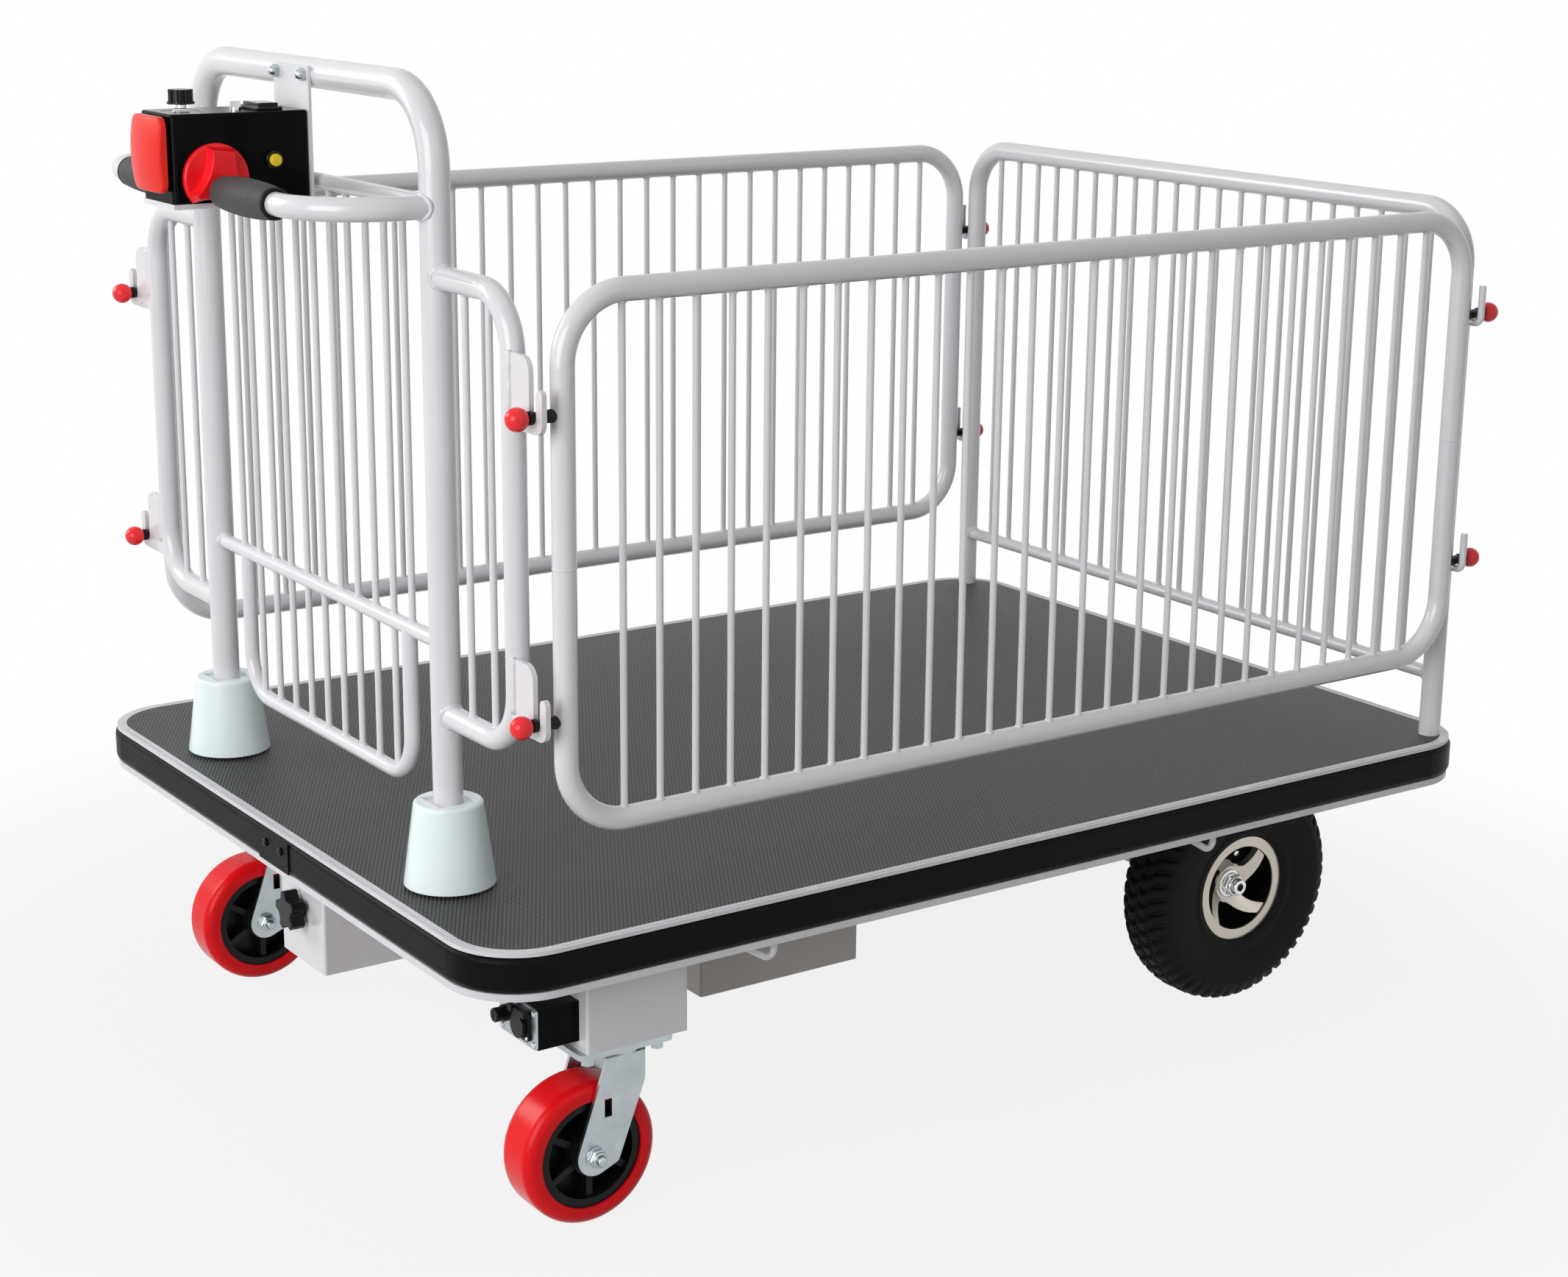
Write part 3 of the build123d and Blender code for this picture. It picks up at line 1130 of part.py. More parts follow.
def drive_axle():
    """Housing with gear case, motor and hangers, bored for the half shafts."""
    x, z = drive_x, drive_z
    axle = rod((x, -housing_end, z), (x, housing_end, z), AXLE_TUBE_D)
    axle += rod((x, -GEAR_LONG / 2, z), (x, GEAR_LONG / 2, z), GEAR_D)
    axle += rod((x, 0, z), (x - GEAR_D / 2 - MOTOR_LONG, 0, z), MOTOR_D)
    for y in row(2, BEAM_SPREAD):
        half = HANGER_THICK / 2
        axle += block(x - HANGER_LONG / 2, x + HANGER_LONG / 2, y - half, y + half, z, deck_low)
        foot = 3 * half
        axle += block(x - HANGER_LONG / 2, x + HANGER_LONG / 2, y - foot, y + foot, deck_low - 6, deck_low)
    for side in (-1, 1):
        inner = side * (housing_end - SHAFT_INSIDE)
        axle -= rod((x, inner, z), (x, side * housing_end, z), SHAFT_D + 2 * RUN_PLAY)
    return axle


def half_shaft(side):
    """Shaft from the housing through the rim, with washer and nut."""
    x, z = drive_x, drive_z
    hub_face = drive_y + rim_face - RIM_RECESS
    nut_seat = hub_face + WHEEL_WASHER_T
    tip = nut_seat + WHEEL_NUT_HIGH + WHEEL_STUD_OUT
    shaft = rod((x, side * (housing_end - SHAFT_INSIDE + 1), z), (x, side * tip, z), SHAFT_D)
    shaft += rod((x, side * hub_face, z), (x, side * nut_seat, z), WHEEL_WASHER_D)
    return shaft + hexagon((x, side * nut_seat, z), (0, side, 0), WHEEL_NUT_AF, WHEEL_NUT_HIGH)


def spoke_outline():
    """Flat swirled blade from the hub to the ring, turning and narrowing on its way out."""
    start, end, steps = RIM_HUB_D / 2 - 2, RIM_D / 2 - RIM_RING / 2, 8
    edges = []
    for way in (-1, 1):
        edge = []
        for i in range(steps + 1):
            share = i / steps
            cover = RIM_SPOKE_ROOT + (RIM_SPOKE_TIP - RIM_SPOKE_ROOT) * share ** 0.25
            turn = (RIM_SPOKE_SWEEP * share + way * cover / 2) * pi / 180
            radius = start + (end - start) * share
            edge.append((radius * cos(turn), radius * sin(turn)))
        edges.append(edge)
    return Polygon(*edges[0], *reversed(edges[1]), align=None)


def drive_rim(side):
    """Cast rim: ring with a closed inner side, hub, and swirled spokes that slope back to the hub."""
    inside = RIM_D / 2 - RIM_RING
    hub_face, tip_face = rim_face - RIM_RECESS, rim_face - RIM_SPOKE_SET
    root, tip = RIM_HUB_D / 2 - 3, inside + 1
    slope = Polygon(
        (root, hub_face), (tip, tip_face), (tip, tip_face - RIM_SPOKE_T), (root, hub_face - RIM_SPOKE_T), align=None,
    )
    dish = revolve(Plane.XZ * slope, Axis.Z)
    star = Pos(0, 0, hub_face - 40) * Cylinder(RIM_HUB_D / 2, 40, align=LOW)
    for i in range(RIM_SPOKES):
        turn = 360 / RIM_SPOKES * i + RIM_SPOKE_TURN
        deep = RIM_RECESS + RIM_SPOKE_T
        blade = Pos(0, 0, rim_face - deep) * Rot(0, 0, turn) * extrude(spoke_outline(), deep)
        star += blade & dish
    ring = Cylinder(RIM_D / 2, 2 * rim_face) - Cylinder(inside, 2 * rim_face) + star
    ring += Pos(0, 0, -rim_face) * Cylinder(inside + 1, RIM_WEB, align=LOW)
    ring -= Cylinder(SHAFT_D / 2, 2 * DRIVE_TYRE_W)
    return Pos(drive_x, side * drive_y, drive_z) * Rot(side * -90, 0, 0) * ring


def drive_tyre(side):
    """Tyre with rounded shoulders."""
    tyre = Cylinder(DRIVE_WHEEL_D / 2, DRIVE_TYRE_W)
    tyre = fillet(tyre.edges().filter_by(GeomType.CIRCLE), TYRE_ROUND)
    tyre -= Cylinder(RIM_D / 2, DRIVE_TYRE_W)
    return Pos(drive_x, side * drive_y, drive_z) * Rot(90, 0, 0) * tyre


os.makedirs("parts", exist_ok=True)

save("deck_frame", deck_frame())
save("post_sockets", *post_sockets())
save("deck_plate", deck_plate())
save("deck_mat", deck_mat())
save("deck_edging", deck_edging())
save("bumper_strip", bumper_strip())
save("bumper_joint", bumper_joint())
save("strap_hooks", *strap_hooks())

save("push_arch", push_arch())
save("front_grille", front_grille())
save("ear_frames", ear(-1), ear(1))
save("ear_hooks", *[hook_plate(side, z) for side in (-1, 1) for z in pin_heights])
save("handle_arms", handle_arm(-1), handle_arm(1))
save("hand_grips", hand_grip(-1), hand_grip(1))
save("arch_boots", boot(-1), boot(1))

save("control_bracket", control_bracket())
save("hex_bolts", *hex_bolts())
save("control_box", control_box())
save("emergency_pad", emergency_pad())
save("throttle_dial", throttle_dial())
save("horn_button", horn_button())
save("control_bushes", *control_bushes())
save("speed_knob", speed_knob())
save("power_switch", power_switch())
save("battery_gauge", *battery_gauge())

save("caster_pedestals", pedestal(-1), pedestal(1))
save("caster_plates", caster_plate(-1), caster_plate(1))
save("charger_box", charger_box())
save("charger_plate", charger_plate())
save("charge_socket", charge_socket())
save("charge_cap", charge_cap())
save("fuse_cap", fuse_cap())
save("controller_box", controller_box())
save("motor_controller", motor_controller())
save("star_knob", star_knob())
save("battery_tray", battery_tray())
save("batteries", *batteries())
save("drive_axle", drive_axle())

save("rear_gate", rear_gate())
save("gate_hooks", *[gate_hook(side, z) for side in (-1, 1) for z in pin_heights])

for side, hand in ((-1, "right"), (1, "left")):
    save(f"side_panel_{hand}", side_panel(side))
    save(f"panel_pins_{hand}", *panel_pins(side))
    save(f"panel_knobs_{hand}", *panel_knobs(side))
    save(f"caster_fork_{hand}", caster_fork(side))
    save(f"caster_axle_{hand}", caster_axle(side))
    save(f"caster_hub_{hand}", caster_hub(side))
    save(f"caster_tyre_{hand}", caster_tyre(side))
    save(f"half_shaft_{hand}", half_shaft(side))
    save(f"drive_rim_{hand}", drive_rim(side))
    save(f"drive_tyre_{hand}", drive_tyre(side))
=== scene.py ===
import math

import bmesh
import bpy
from mathutils import Matrix, Vector


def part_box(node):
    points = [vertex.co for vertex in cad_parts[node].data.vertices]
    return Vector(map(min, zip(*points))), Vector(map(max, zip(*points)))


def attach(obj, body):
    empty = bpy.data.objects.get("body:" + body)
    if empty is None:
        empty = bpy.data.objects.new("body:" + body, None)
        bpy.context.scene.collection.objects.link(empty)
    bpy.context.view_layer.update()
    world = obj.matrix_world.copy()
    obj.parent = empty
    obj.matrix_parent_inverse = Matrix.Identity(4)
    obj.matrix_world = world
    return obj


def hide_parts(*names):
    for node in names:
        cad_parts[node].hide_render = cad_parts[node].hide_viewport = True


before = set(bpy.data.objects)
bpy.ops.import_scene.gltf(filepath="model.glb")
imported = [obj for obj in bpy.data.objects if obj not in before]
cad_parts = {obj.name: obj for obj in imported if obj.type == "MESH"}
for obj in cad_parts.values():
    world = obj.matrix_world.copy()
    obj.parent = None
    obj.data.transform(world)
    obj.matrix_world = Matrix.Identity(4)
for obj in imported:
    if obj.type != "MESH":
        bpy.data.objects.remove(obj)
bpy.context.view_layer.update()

# Camera, measured from the photograph
IMAGE_WIDE = 2132
FOCAL_PIXELS = 3789.1
CAMERA_PLACE = (-1.754106, -2.600109, 1.290143)
CAMERA_YAW = 0.60643
CAMERA_PITCH = 0.26357
CAMERA_ROLL = -0.01014

# Sizes of the trolley, in millimetres from the middle of its outline
SIDES = (("right", -1), ("left", 1))
ARCH_X = -536.75
ARCH_Y = 267.0
ARCH_TUBE = 30.0
GRILLE_RAIL = 16.0
GRILLE_UPPER = 1001.0
GRILLE_CROSS = 577.0
GRILLE_LOW = 418.0
GRILLE_UPPER_RODS = 11
GRILLE_LOWER_RODS = 9
EAR_TUBE = 23.0
EAR_TOP = 934.0
EAR_LOW = 506.0
EAR_RODS = (55.0, 100.5)
EAR_Y = 411.5
HOOK_FRONT = 8.8
HOOK_PINS = (831.0, 545.0)
HANDLE_Z = 999.0
HANDLE_X = -655.75
HANDLE_TUBE = 23.0
GRIP_OUT = 174.0
ROD_D = 7.0
ROD_PITCH = 40.0
ROD_SPACE = 50.0            # least room between a post and the first rod
PANEL_Y = 461.4
PANEL_FRONT = -514.55
PANEL_REAR = 650.15
PANEL_TUBE = 23.0
PANEL_LOW = 439.0
PANEL_TOP = 939.5
GATE_X = 673.85
GATE_Y = 441.0
GATE_TUBE = 25.0
GATE_RAIL = 16.0
GATE_RAIL_Z = 403.0
GATE_TOP = 945.0
GATE_ROD_PITCH = 39.0
DRIVE_X = 483.65
DRIVE_Y = 308.0
DRIVE_Z = 141.5
TYRE_WIDE = 75.0
TYRE_ROUND = 26.0
TYRE_BORE = 64.2
TYRE_BLOCKS = 50
TREAD_DEEP = 4.6
RIM_FACE = 28.0
RIM_LIP = 2.0               # bright edge of the barrel
RIM_WELL = 50.8
RIM_HUB_FACE = 316.0
RIM_SPOKE_BACK = 306.0
SHAFT_D = 20.0
SHAFT_IN = 204.0
WHEEL_NUT_AF = 24.0
WHEEL_NUT_HIGH = 8.0
WHEEL_WASHER = 2.0
VALVE_IN = 30.0             # foot of the valve behind the rim's face
VALVE_UP = 46.0             # and above the axle
VALVE_TILT = -0.28
CASTER_Y = 387.0
CASTER_AXLE_X = -462.25
CASTER_AXLE_Z = 75.0
CASTER_CHEEK = 33.0
CASTER_AXLE_D = 12.0
CASTER_NUT_AF = 18.0
CASTER_NUT_HIGH = 6.4
CASTER_WASHER = 1.5
BOX_TOP = 1073.0
KNOB_X = -673.75
KNOB_Y = -5.0
BUSH_D = 11.0
HORN_X = -593.75
HORN_Y = -38.0
HORN_Z = 1026.0
HORN_D = 12.4
HORN_COLLAR_D = 19.0


def mm(*values):
    """Millimetres to a point in metres."""
    return Vector([v / 1000 for v in values])


def spot(centre, axis, along):
    """Point at a distance along an axis, in millimetres."""
    return tuple(c + along * a for c, a in zip(centre, axis))


def per(size):
    """Texture scale at which one feature is this many millimetres wide."""
    return 1000 / size


def linear(colour):
    """sRGB hex to linear RGBA."""
    parts = [int(colour[i : i + 2], 16) / 255 for i in (1, 3, 5)]
    return (*[c / 12.92 if c <= 0.04045 else ((c + 0.055) / 1.055) ** 2.4 for c in parts], 1.0)


# Nodes


def add(tree, kind, inputs=None, **settings):
    """Adds a node, sets its fields, and links or sets its inputs."""
    node = tree.nodes.new(kind)
    for field, value in settings.items():
        setattr(node, field, value)
    for socket, value in (inputs or {}).items():
        if isinstance(value, bpy.types.NodeSocket):
            tree.links.new(value, node.inputs[socket])
        else:
            node.inputs[socket].default_value = value
    return node


def maths(tree, operation, *values, **settings):
    """Result of a maths node on sockets or plain numbers."""
    return add(tree, "ShaderNodeMath", dict(enumerate(values)), operation=operation, **settings).outputs[0]


def noise(tree, place, size, detail):
    """Noise from 0 to 1 with features of a size in millimetres."""
    inputs = {"Vector": place, "Scale": per(size), "Detail": detail}
    return add(tree, "ShaderNodeTexNoise", inputs).outputs["Fac"]


def blend(tree, share, first, second):
    """Colour between two colours."""
    return add(tree, "ShaderNodeMix", {"Factor": share, 6: first, 7: second}, data_type="RGBA").outputs[2]


def off_middle(tree, place):
    """Distance to either side of the trolley's middle, in metres."""
    parts = add(tree, "ShaderNodeSeparateXYZ", {"Vector": place})
    return maths(tree, "ABSOLUTE", parts.outputs["Y"])


# Finishes

STUD_PITCH = 4.0            # the real studs are about 3 mm apart; drawn wider so that they show
STUD_WAVES = ((-30, 0.46), (30, 0.27), (90, 0.27))  # bearing in degrees and weight
PARTING_HALF = 0.6          # half the width of the parting line round the casters
RIM_SHINE = 0.85            # metal share of the bright parts of a rim


def finish(name, **sockets):
    """New material with a Principled shader; returns it with its tree, shader and Object coordinates."""
    material = bpy.data.materials.new(name)
    material.use_nodes = True
    tree = material.node_tree
    shader = tree.nodes["Principled BSDF"]
    for socket, value in sockets.items():
        shader.inputs[socket.replace("_", " ")].default_value = value
    place = add(tree, "ShaderNodeTexCoord").outputs["Object"]
    return material, tree, shader, place


def mottle(tree, shader, place, dark, light, size):
    """Slow drift between two close tones."""
    tone = blend(tree, noise(tree, place, size, 3.0), linear(dark), linear(light))
    tree.links.new(tone, shader.inputs["Base Color"])
    return tone


def emboss(tree, shader, height, deep):
    """Bump of a depth in millimetres."""
    bump = add(tree, "ShaderNodeBump", {"Height": height, "Distance": deep / 1000})
    tree.links.new(bump.outputs["Normal"], shader.inputs["Normal"])


def grain(tree, shader, place, size, deep, detail=2.0):
    """Fine bumps of a width and depth in millimetres."""
    emboss(tree, shader, noise(tree, place, size, detail), deep)


def wear(tree, shader, place, size, smooth, rough):
    """Roughness that drifts between two values."""
    drift = noise(tree, place, size, 4.0)
    spread = add(tree, "ShaderNodeMapRange", {"Value": drift, 3: smooth, 4: rough})
    tree.links.new(spread.outputs["Result"], shader.inputs["Roughness"])


def powder_coat(name, dark, light, rough=0.22):
    """Polyester powder coat baked on steel: glossy, with a soft orange peel."""
    material, tree, shader, place = finish(name, Coat_Weight=0.35, Coat_Roughness=0.06, IOR=1.5)
    mottle(tree, shader, place, dark, light, 90)
    wear(tree, shader, place, 35, rough - 0.04, rough + 0.06)
    grain(tree, shader, place, 5, 0.05)
    return material


def edge_profile():
    """Painted aluminium extrusion: satin, pale lilac grey, a little chalky."""
    material, tree, shader, place = finish("painted_aluminium_extrusion", IOR=1.5)
    mottle(tree, shader, place, "#D6D5D9", "#E3E2E6", 60)
    wear(tree, shader, place, 20, 0.3, 0.45)
    grain(tree, shader, place, 4, 0.06, 4.0)
    return material


def boot_moulding():
    """Injection-moulded polypropylene: glossy white with a mint cast and a little light inside."""
    material, tree, shader, place = finish(
        "polypropylene_moulding", IOR=1.49, Subsurface_Weight=0.08, Subsurface_Scale=0.004
    )
    mottle(tree, shader, place, "#ECFCFE", "#F4FFFF", 70)
    wear(tree, shader, place, 40, 0.16, 0.26)
    grain(tree, shader, place, 6, 0.04)
    return material


def studded_mat():
    """Calendered rubber matting: dark grey with close staggered studs; the stud tops are painted lighter as
    a painted highlight and the valleys between them darker as painted shade.
    """
    material, tree, shader, place = finish("studded_rubber_matting", Specular_IOR_Level=0.17, Roughness=0.4)
    turn = 2 * math.pi * per(STUD_PITCH)
    height = 0.0
    for bearing, weight in STUD_WAVES:
        angle = math.radians(bearing)
        way = (turn * math.cos(angle), turn * math.sin(angle), 0.0)
        along = add(tree, "ShaderNodeVectorMath", {0: place, 1: way}, operation="DOT_PRODUCT")
        wave = maths(tree, "COSINE", along.outputs["Value"])
        height = maths(tree, "MULTIPLY_ADD", wave, weight, height)
    # The stud height also sets the colour: tops painted light as a painted highlight, valleys painted dark
    # as painted shade
    share = add(tree, "ShaderNodeMapRange", {"Value": height, 1: -0.35, 2: 0.85}).outputs["Result"]
    valley_shade = blend(tree, noise(tree, place, 120, 3.0), linear("#232324"), linear("#2B2B2C"))
    tone = blend(tree, share, valley_shade, linear("#646465"))
    tree.links.new(tone, shader.inputs["Base Color"])
    emboss(tree, shader, share, 0.8)
    return material


def bumper_strip():
    """Extruded soft PVC: near black, satin, with faint lines along its length."""
    material, tree, shader, place = finish("extruded_soft_pvc", Specular_IOR_Level=0.07)
    mottle(tree, shader, place, "#070708", "#0C0C0D", 80)
    wear(tree, shader, place, 50, 0.34, 0.46)
    waves = {"Vector": place, "Scale": per(40), "Distortion": 0.6}
    lines = add(tree, "ShaderNodeTexWave", waves, bands_direction="Z")
    emboss(tree, shader, lines.outputs["Fac"], 0.08)
    return material


def grip_foam():
    """Nitrile foam sleeve: dark grey, dull, with a fine open grain."""
    material, tree, shader, place = finish("nitrile_foam", IOR=1.4, Specular_IOR_Level=0.2, Roughness=0.6)
    mottle(tree, shader, place, "#424244", "#525255", 14)
    grain(tree, shader, place, 1.6, 0.12, 4.0)
    return material


def moulded(name, dark, light, rough, size=1.8, deep=0.03, specular=0.5):
    """Smooth skin of a moulding, enamel or ink: two close tones, a set gloss and a fine grain."""
    material, tree, shader, place = finish(name, IOR=1.5, Specular_IOR_Level=specular)
    mottle(tree, shader, place, dark, light, 25)
    wear(tree, shader, place, 12, rough - 0.05, rough + 0.05)
    grain(tree, shader, place, size, deep)
    return material


def caster_polyurethane():
    """Cast polyurethane: deep glossy red with some light inside and a fine parting line round the crown."""
    material, tree, shader, place = finish(
        "cast_polyurethane", IOR=1.5, Specular_IOR_Level=0.18, Subsurface_Weight=0.1, Subsurface_Scale=0.006
    )
    mottle(tree, shader, place, "#E90C15", "#F8131D", 60)
    wear(tree, shader, place, 18, 0.18, 0.32)
    line = maths(tree, "COMPARE", off_middle(tree, place), CASTER_Y / 1000, PARTING_HALF / 1000)
    emboss(tree, shader, line, 0.4)
    return material


def plated(name, dark, light, rough):
    """Bare or plated metal: greys with faint clouds and rolling lines."""
    material, tree, shader, place = finish(name, Metallic=1.0)
    mottle(tree, shader, place, dark, light, 18)
    wear(tree, shader, place, 9, rough - 0.08, rough + 0.1)
    stretched = add(tree, "ShaderNodeMapping", {"Vector": place, "Scale": (1.0, 1.0, 0.12)})
    grain(tree, shader, stretched.outputs["Vector"], 1.5, 0.02, 3.0)
    return material


def turned_aluminium():
    """Machined cast aluminium: warm silver with turning marks round the wheel's axis, and a well painted
    black behind the spokes."""
    material, tree, shader, place = finish("turned_cast_aluminium")
    silver = mottle(tree, shader, place, "#BDB6AA", "#CEC7BB", 30)
    wear(tree, shader, place, 14, 0.24, 0.36)
    centred = add(tree, "ShaderNodeMapping", {"Vector": place, "Location": -mm(DRIVE_X, 0, DRIVE_Z)})
    waves = {"Vector": centred.outputs["Vector"], "Scale": per(10), "Distortion": 0.3}
    rings = add(tree, "ShaderNodeTexWave", waves, wave_type="RINGS", rings_direction="Y")
    emboss(tree, shader, rings.outputs["Fac"], 0.01)
    flat = add(tree, "ShaderNodeMapping", {"Vector": centred.outputs["Vector"], "Scale": (1.0, 0.0, 1.0)})
    radius = add(tree, "ShaderNodeVectorMath", {0: flat.outputs["Vector"]}, operation="LENGTH")
    side = off_middle(tree, place)
    outer = maths(tree, "GREATER_THAN", radius.outputs["Value"], RIM_WELL / 1000)
    behind = maths(tree, "LESS_THAN", side, (DRIVE_Y + RIM_FACE - RIM_LIP) / 1000)
    barrel = maths(tree, "MULTIPLY", outer, behind)
    back = maths(tree, "LESS_THAN", side, RIM_SPOKE_BACK / 1000)
    well = maths(tree, "MAXIMUM", barrel, back)
    bright = maths(tree, "MULTIPLY_ADD", well, -RIM_SHINE, RIM_SHINE)
    tree.links.new(blend(tree, well, silver, linear("#0A0A0A")), shader.inputs["Base Color"])
    tree.links.new(bright, shader.inputs["Metallic"])
    return material


def tyre_rubber():
    """Vulcanised rubber: black, dull, dusted grey where it has been handled."""
    material, tree, shader, place = finish("vulcanised_rubber", Specular_IOR_Level=0.1)
    mottle(tree, shader, place, "#101011", "#1A1A1B", 30)
    wear(tree, shader, place, 15, 0.5, 0.68)
    grain(tree, shader, place, 1.5, 0.06, 3.0)
    return material


FINISHES = {
    # Tubes, rods and sheet: pale lilac grey with a soft highlight along each tube
    "frame": powder_coat("powder_coat_pale_grey", "#DEDCE0", "#E6E5E8"),
    # Battery tray: darker and warmer, with broader highlights
    "tray": powder_coat("powder_coat_warm_grey", "#B4AFAA", "#BFBAB5", 0.3),
    "edging": edge_profile(),
    "boot": boot_moulding(),
    "mat": studded_mat(),
    "bumper": bumper_strip(),
    "grip": grip_foam(),
    # Ball knobs: bright red with a small sharp glint
    "knob_red": moulded("phenolic_ball_red", "#F4222B", "#FF2F37", 0.16, 4, 0.02, 0.3),
    # Throttle dial: strong clear red, glossy
    "dial_red": moulded("abs_gloss_red", "#FA131D", "#FF1B26", 0.2, 4, 0.02, 0.3),
    # Front pad: lighter coral red with a soft sheen
    "pad_red": moulded("abs_satin_coral", "#EA2C24", "#F2372E", 0.3, 3, 0.02, 0.12),
    "caster_red": caster_polyurethane(),
    # Boxes: deep, even black that mirrors very little
    "box_black": moulded("baked_enamel_black", "#070708", "#0B0B0C", 0.16, 5, 0.03, 0.05),
    # Hubs, star knob and charger fittings: dull black with a grain
    "nylon_black": moulded("glass_filled_nylon", "#0E0E0F", "#151516", 0.34, 1.5, 0.05, 0.18),
    # Top knob and gauge: black with narrow bright glints
    "abs_black": moulded("abs_gloss_black", "#080809", "#0E0E0F", 0.2, 3, 0.02, 0.2),
    # Panel pins: satin black
    "pin_black": moulded("black_oxide_steel", "#09090A", "#111112", 0.35, 2, 0.03, 0.2),
    # Button: warm yellow, glossy
    "yellow": moulded("abs_gloss_yellow", "#EBC913", "#F4D622", 0.22, 3, 0.02),
    # Pressed caster parts and bolts: bluish grey with soft clouds
    "zinc": plated("bright_zinc_plate", "#A3ACB0", "#C6CDD0", 0.3),
    # Wheel nuts, bush and switch: bright silver that mirrors what is round it
    "chrome": plated("nickel_chrome_plate", "#D5D8DA", "#E6E8E9", 0.14),
    "rim": turned_aluminium(),
    "tyre": tyre_rubber(),
    # Battery cases: dull black
    "battery": moulded("polypropylene_battery_case", "#141416", "#1B1B1E", 0.4, 1.5, 0.04, 0.2),
    # Motor controller: mid grey with a dull cast skin
    "controller": plated("die_cast_aluminium", "#8E9092", "#A6A8AA", 0.42),
    # Axle housing: black with a low gloss
    "iron": powder_coat("chassis_paint_black", "#101011", "#171718", 0.4),
    # Gauge window: pale green, very smooth
    "lens": moulded("acrylic_window", "#A9B8AE", "#C6D4CA", 0.08, 6, 0.01),
    # Scale round the knob: flat white
    "mark": moulded("screen_ink_white", "#D8D8D8", "#E4E4E4", 0.5),
}

NODE_FINISH = {
    "frame": (
        "push_arch", "front_grille", "ear_frames", "ear_hooks", "handle_arms", "side_panel_left",
        "side_panel_right", "rear_gate", "gate_hooks", "control_bracket", "post_sockets", "strap_hooks",
        "caster_pedestals", "deck_frame", "deck_plate", "controller_box",
    ),
    "edging": ("deck_edging",),
    "boot": ("arch_boots",),
    "mat": ("deck_mat",),
    "bumper": ("bumper_strip", "bumper_joint"),
    "grip": ("hand_grips",),
    "knob_red": ("panel_knobs_left", "panel_knobs_right"),
    "dial_red": ("throttle_dial",),
    "pad_red": ("emergency_pad",),
    "caster_red": ("caster_tyre_left", "caster_tyre_right"),
    "box_black": ("control_box", "charger_box"),
    "nylon_black": (
        "star_knob", "charge_socket", "charge_cap", "fuse_cap", "caster_hub_left", "caster_hub_right",
    ),
    "abs_black": ("speed_knob", "battery_gauge"),
    "pin_black": ("panel_pins_left", "panel_pins_right"),
    "yellow": ("horn_button",),
    "zinc": (
        "hex_bolts", "caster_plates", "caster_fork_left", "caster_fork_right", "caster_axle_left",
        "caster_axle_right", "half_shaft_left", "half_shaft_right", "charger_plate",
    ),
    "chrome": ("control_bushes", "power_switch"),
    "tray": ("battery_tray",),
    "battery": ("batteries",),
    "controller": ("motor_controller",),
    "iron": ("drive_axle",),
    "rim": ("drive_rim_left", "drive_rim_right"),
    "tyre": ("drive_tyre_left", "drive_tyre_right"),
}
for key, names in NODE_FINISH.items():
    for name in names:
        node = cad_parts.get(name)
        if node:
            node.data.materials.clear()
            node.data.materials.append(FINISHES[key])


# Making pieces


def piece(name, mesh, finish_key, body, slot, *stands_for):
    """Shows a finished mesh as one piece riding on a body."""
    obj = bpy.data.objects.new(name, mesh)
    bpy.context.collection.objects.link(obj)
    if finish_key:
        mesh.materials.clear()
        mesh.materials.append(FINISHES[finish_key])
    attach(obj, body)
    if stands_for:
        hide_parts(*stands_for)


def mesh_of(name, points, faces=(), edges=()):
    """Plain mesh from points, edges and faces."""
    mesh = bpy.data.meshes.new(name)
    mesh.from_pydata(points, edges, faces)
    return mesh


def tidied(mesh, smooth=True):
    """Merges doubles and turns all faces outwards."""
    work = bmesh.new()
    work.from_mesh(mesh)
    bmesh.ops.remove_doubles(work, verts=work.verts, dist=1e-6)
    bmesh.ops.recalc_face_normals(work, faces=work.faces)
    for face in work.faces:
        face.smooth = smooth
    work.to_mesh(mesh)
    work.free()
    return mesh


def lathe(profile, centre, axis, steps=24, smooth=True):
    """Closed turned shape: profile of (along the axis, radius) in millimetres."""
    turn = Vector(axis).normalized().to_track_quat("Z", "Y").to_matrix().to_4x4()
    place = Matrix.Translation(mm(*centre)) @ turn
    points, faces = [], []
    for i in range(steps):
        angle = 2 * math.pi * i / steps
        for along, radius in profile:
            points.append(place @ mm(radius * math.cos(angle), radius * math.sin(angle), along))
    count = len(profile)
    for i in range(steps):
        a, b = i * count, (i + 1) % steps * count
        for j in range(count - 1):
            faces.append((a + j, b + j, b + j + 1, a + j + 1))
    return tidied(mesh_of("turned", points, faces), smooth)


def hex_nut(centre, axis, across_flats, high, bore):
    """Nut with its corners chamfered on the outer face."""
    inner, corner = bore / 2, across_flats / math.sqrt(3)
    chamfer = [(0.78 * high, corner), (high, 0.86 * corner)]
    profile = [(0, inner), (0, corner), *chamfer, (high, inner), (0, inner)]
    return lathe(profile, centre, axis, 6, False)


def threaded(length, diameter, pitch=1.5):
    """Profile of a thread, from its root outwards."""
    turns = int(length / pitch)
    profile = []
    for i in range(turns):
        profile += [(i * pitch, diameter / 2 - 0.7), ((i + 0.5) * pitch, diameter / 2)]
    return profile


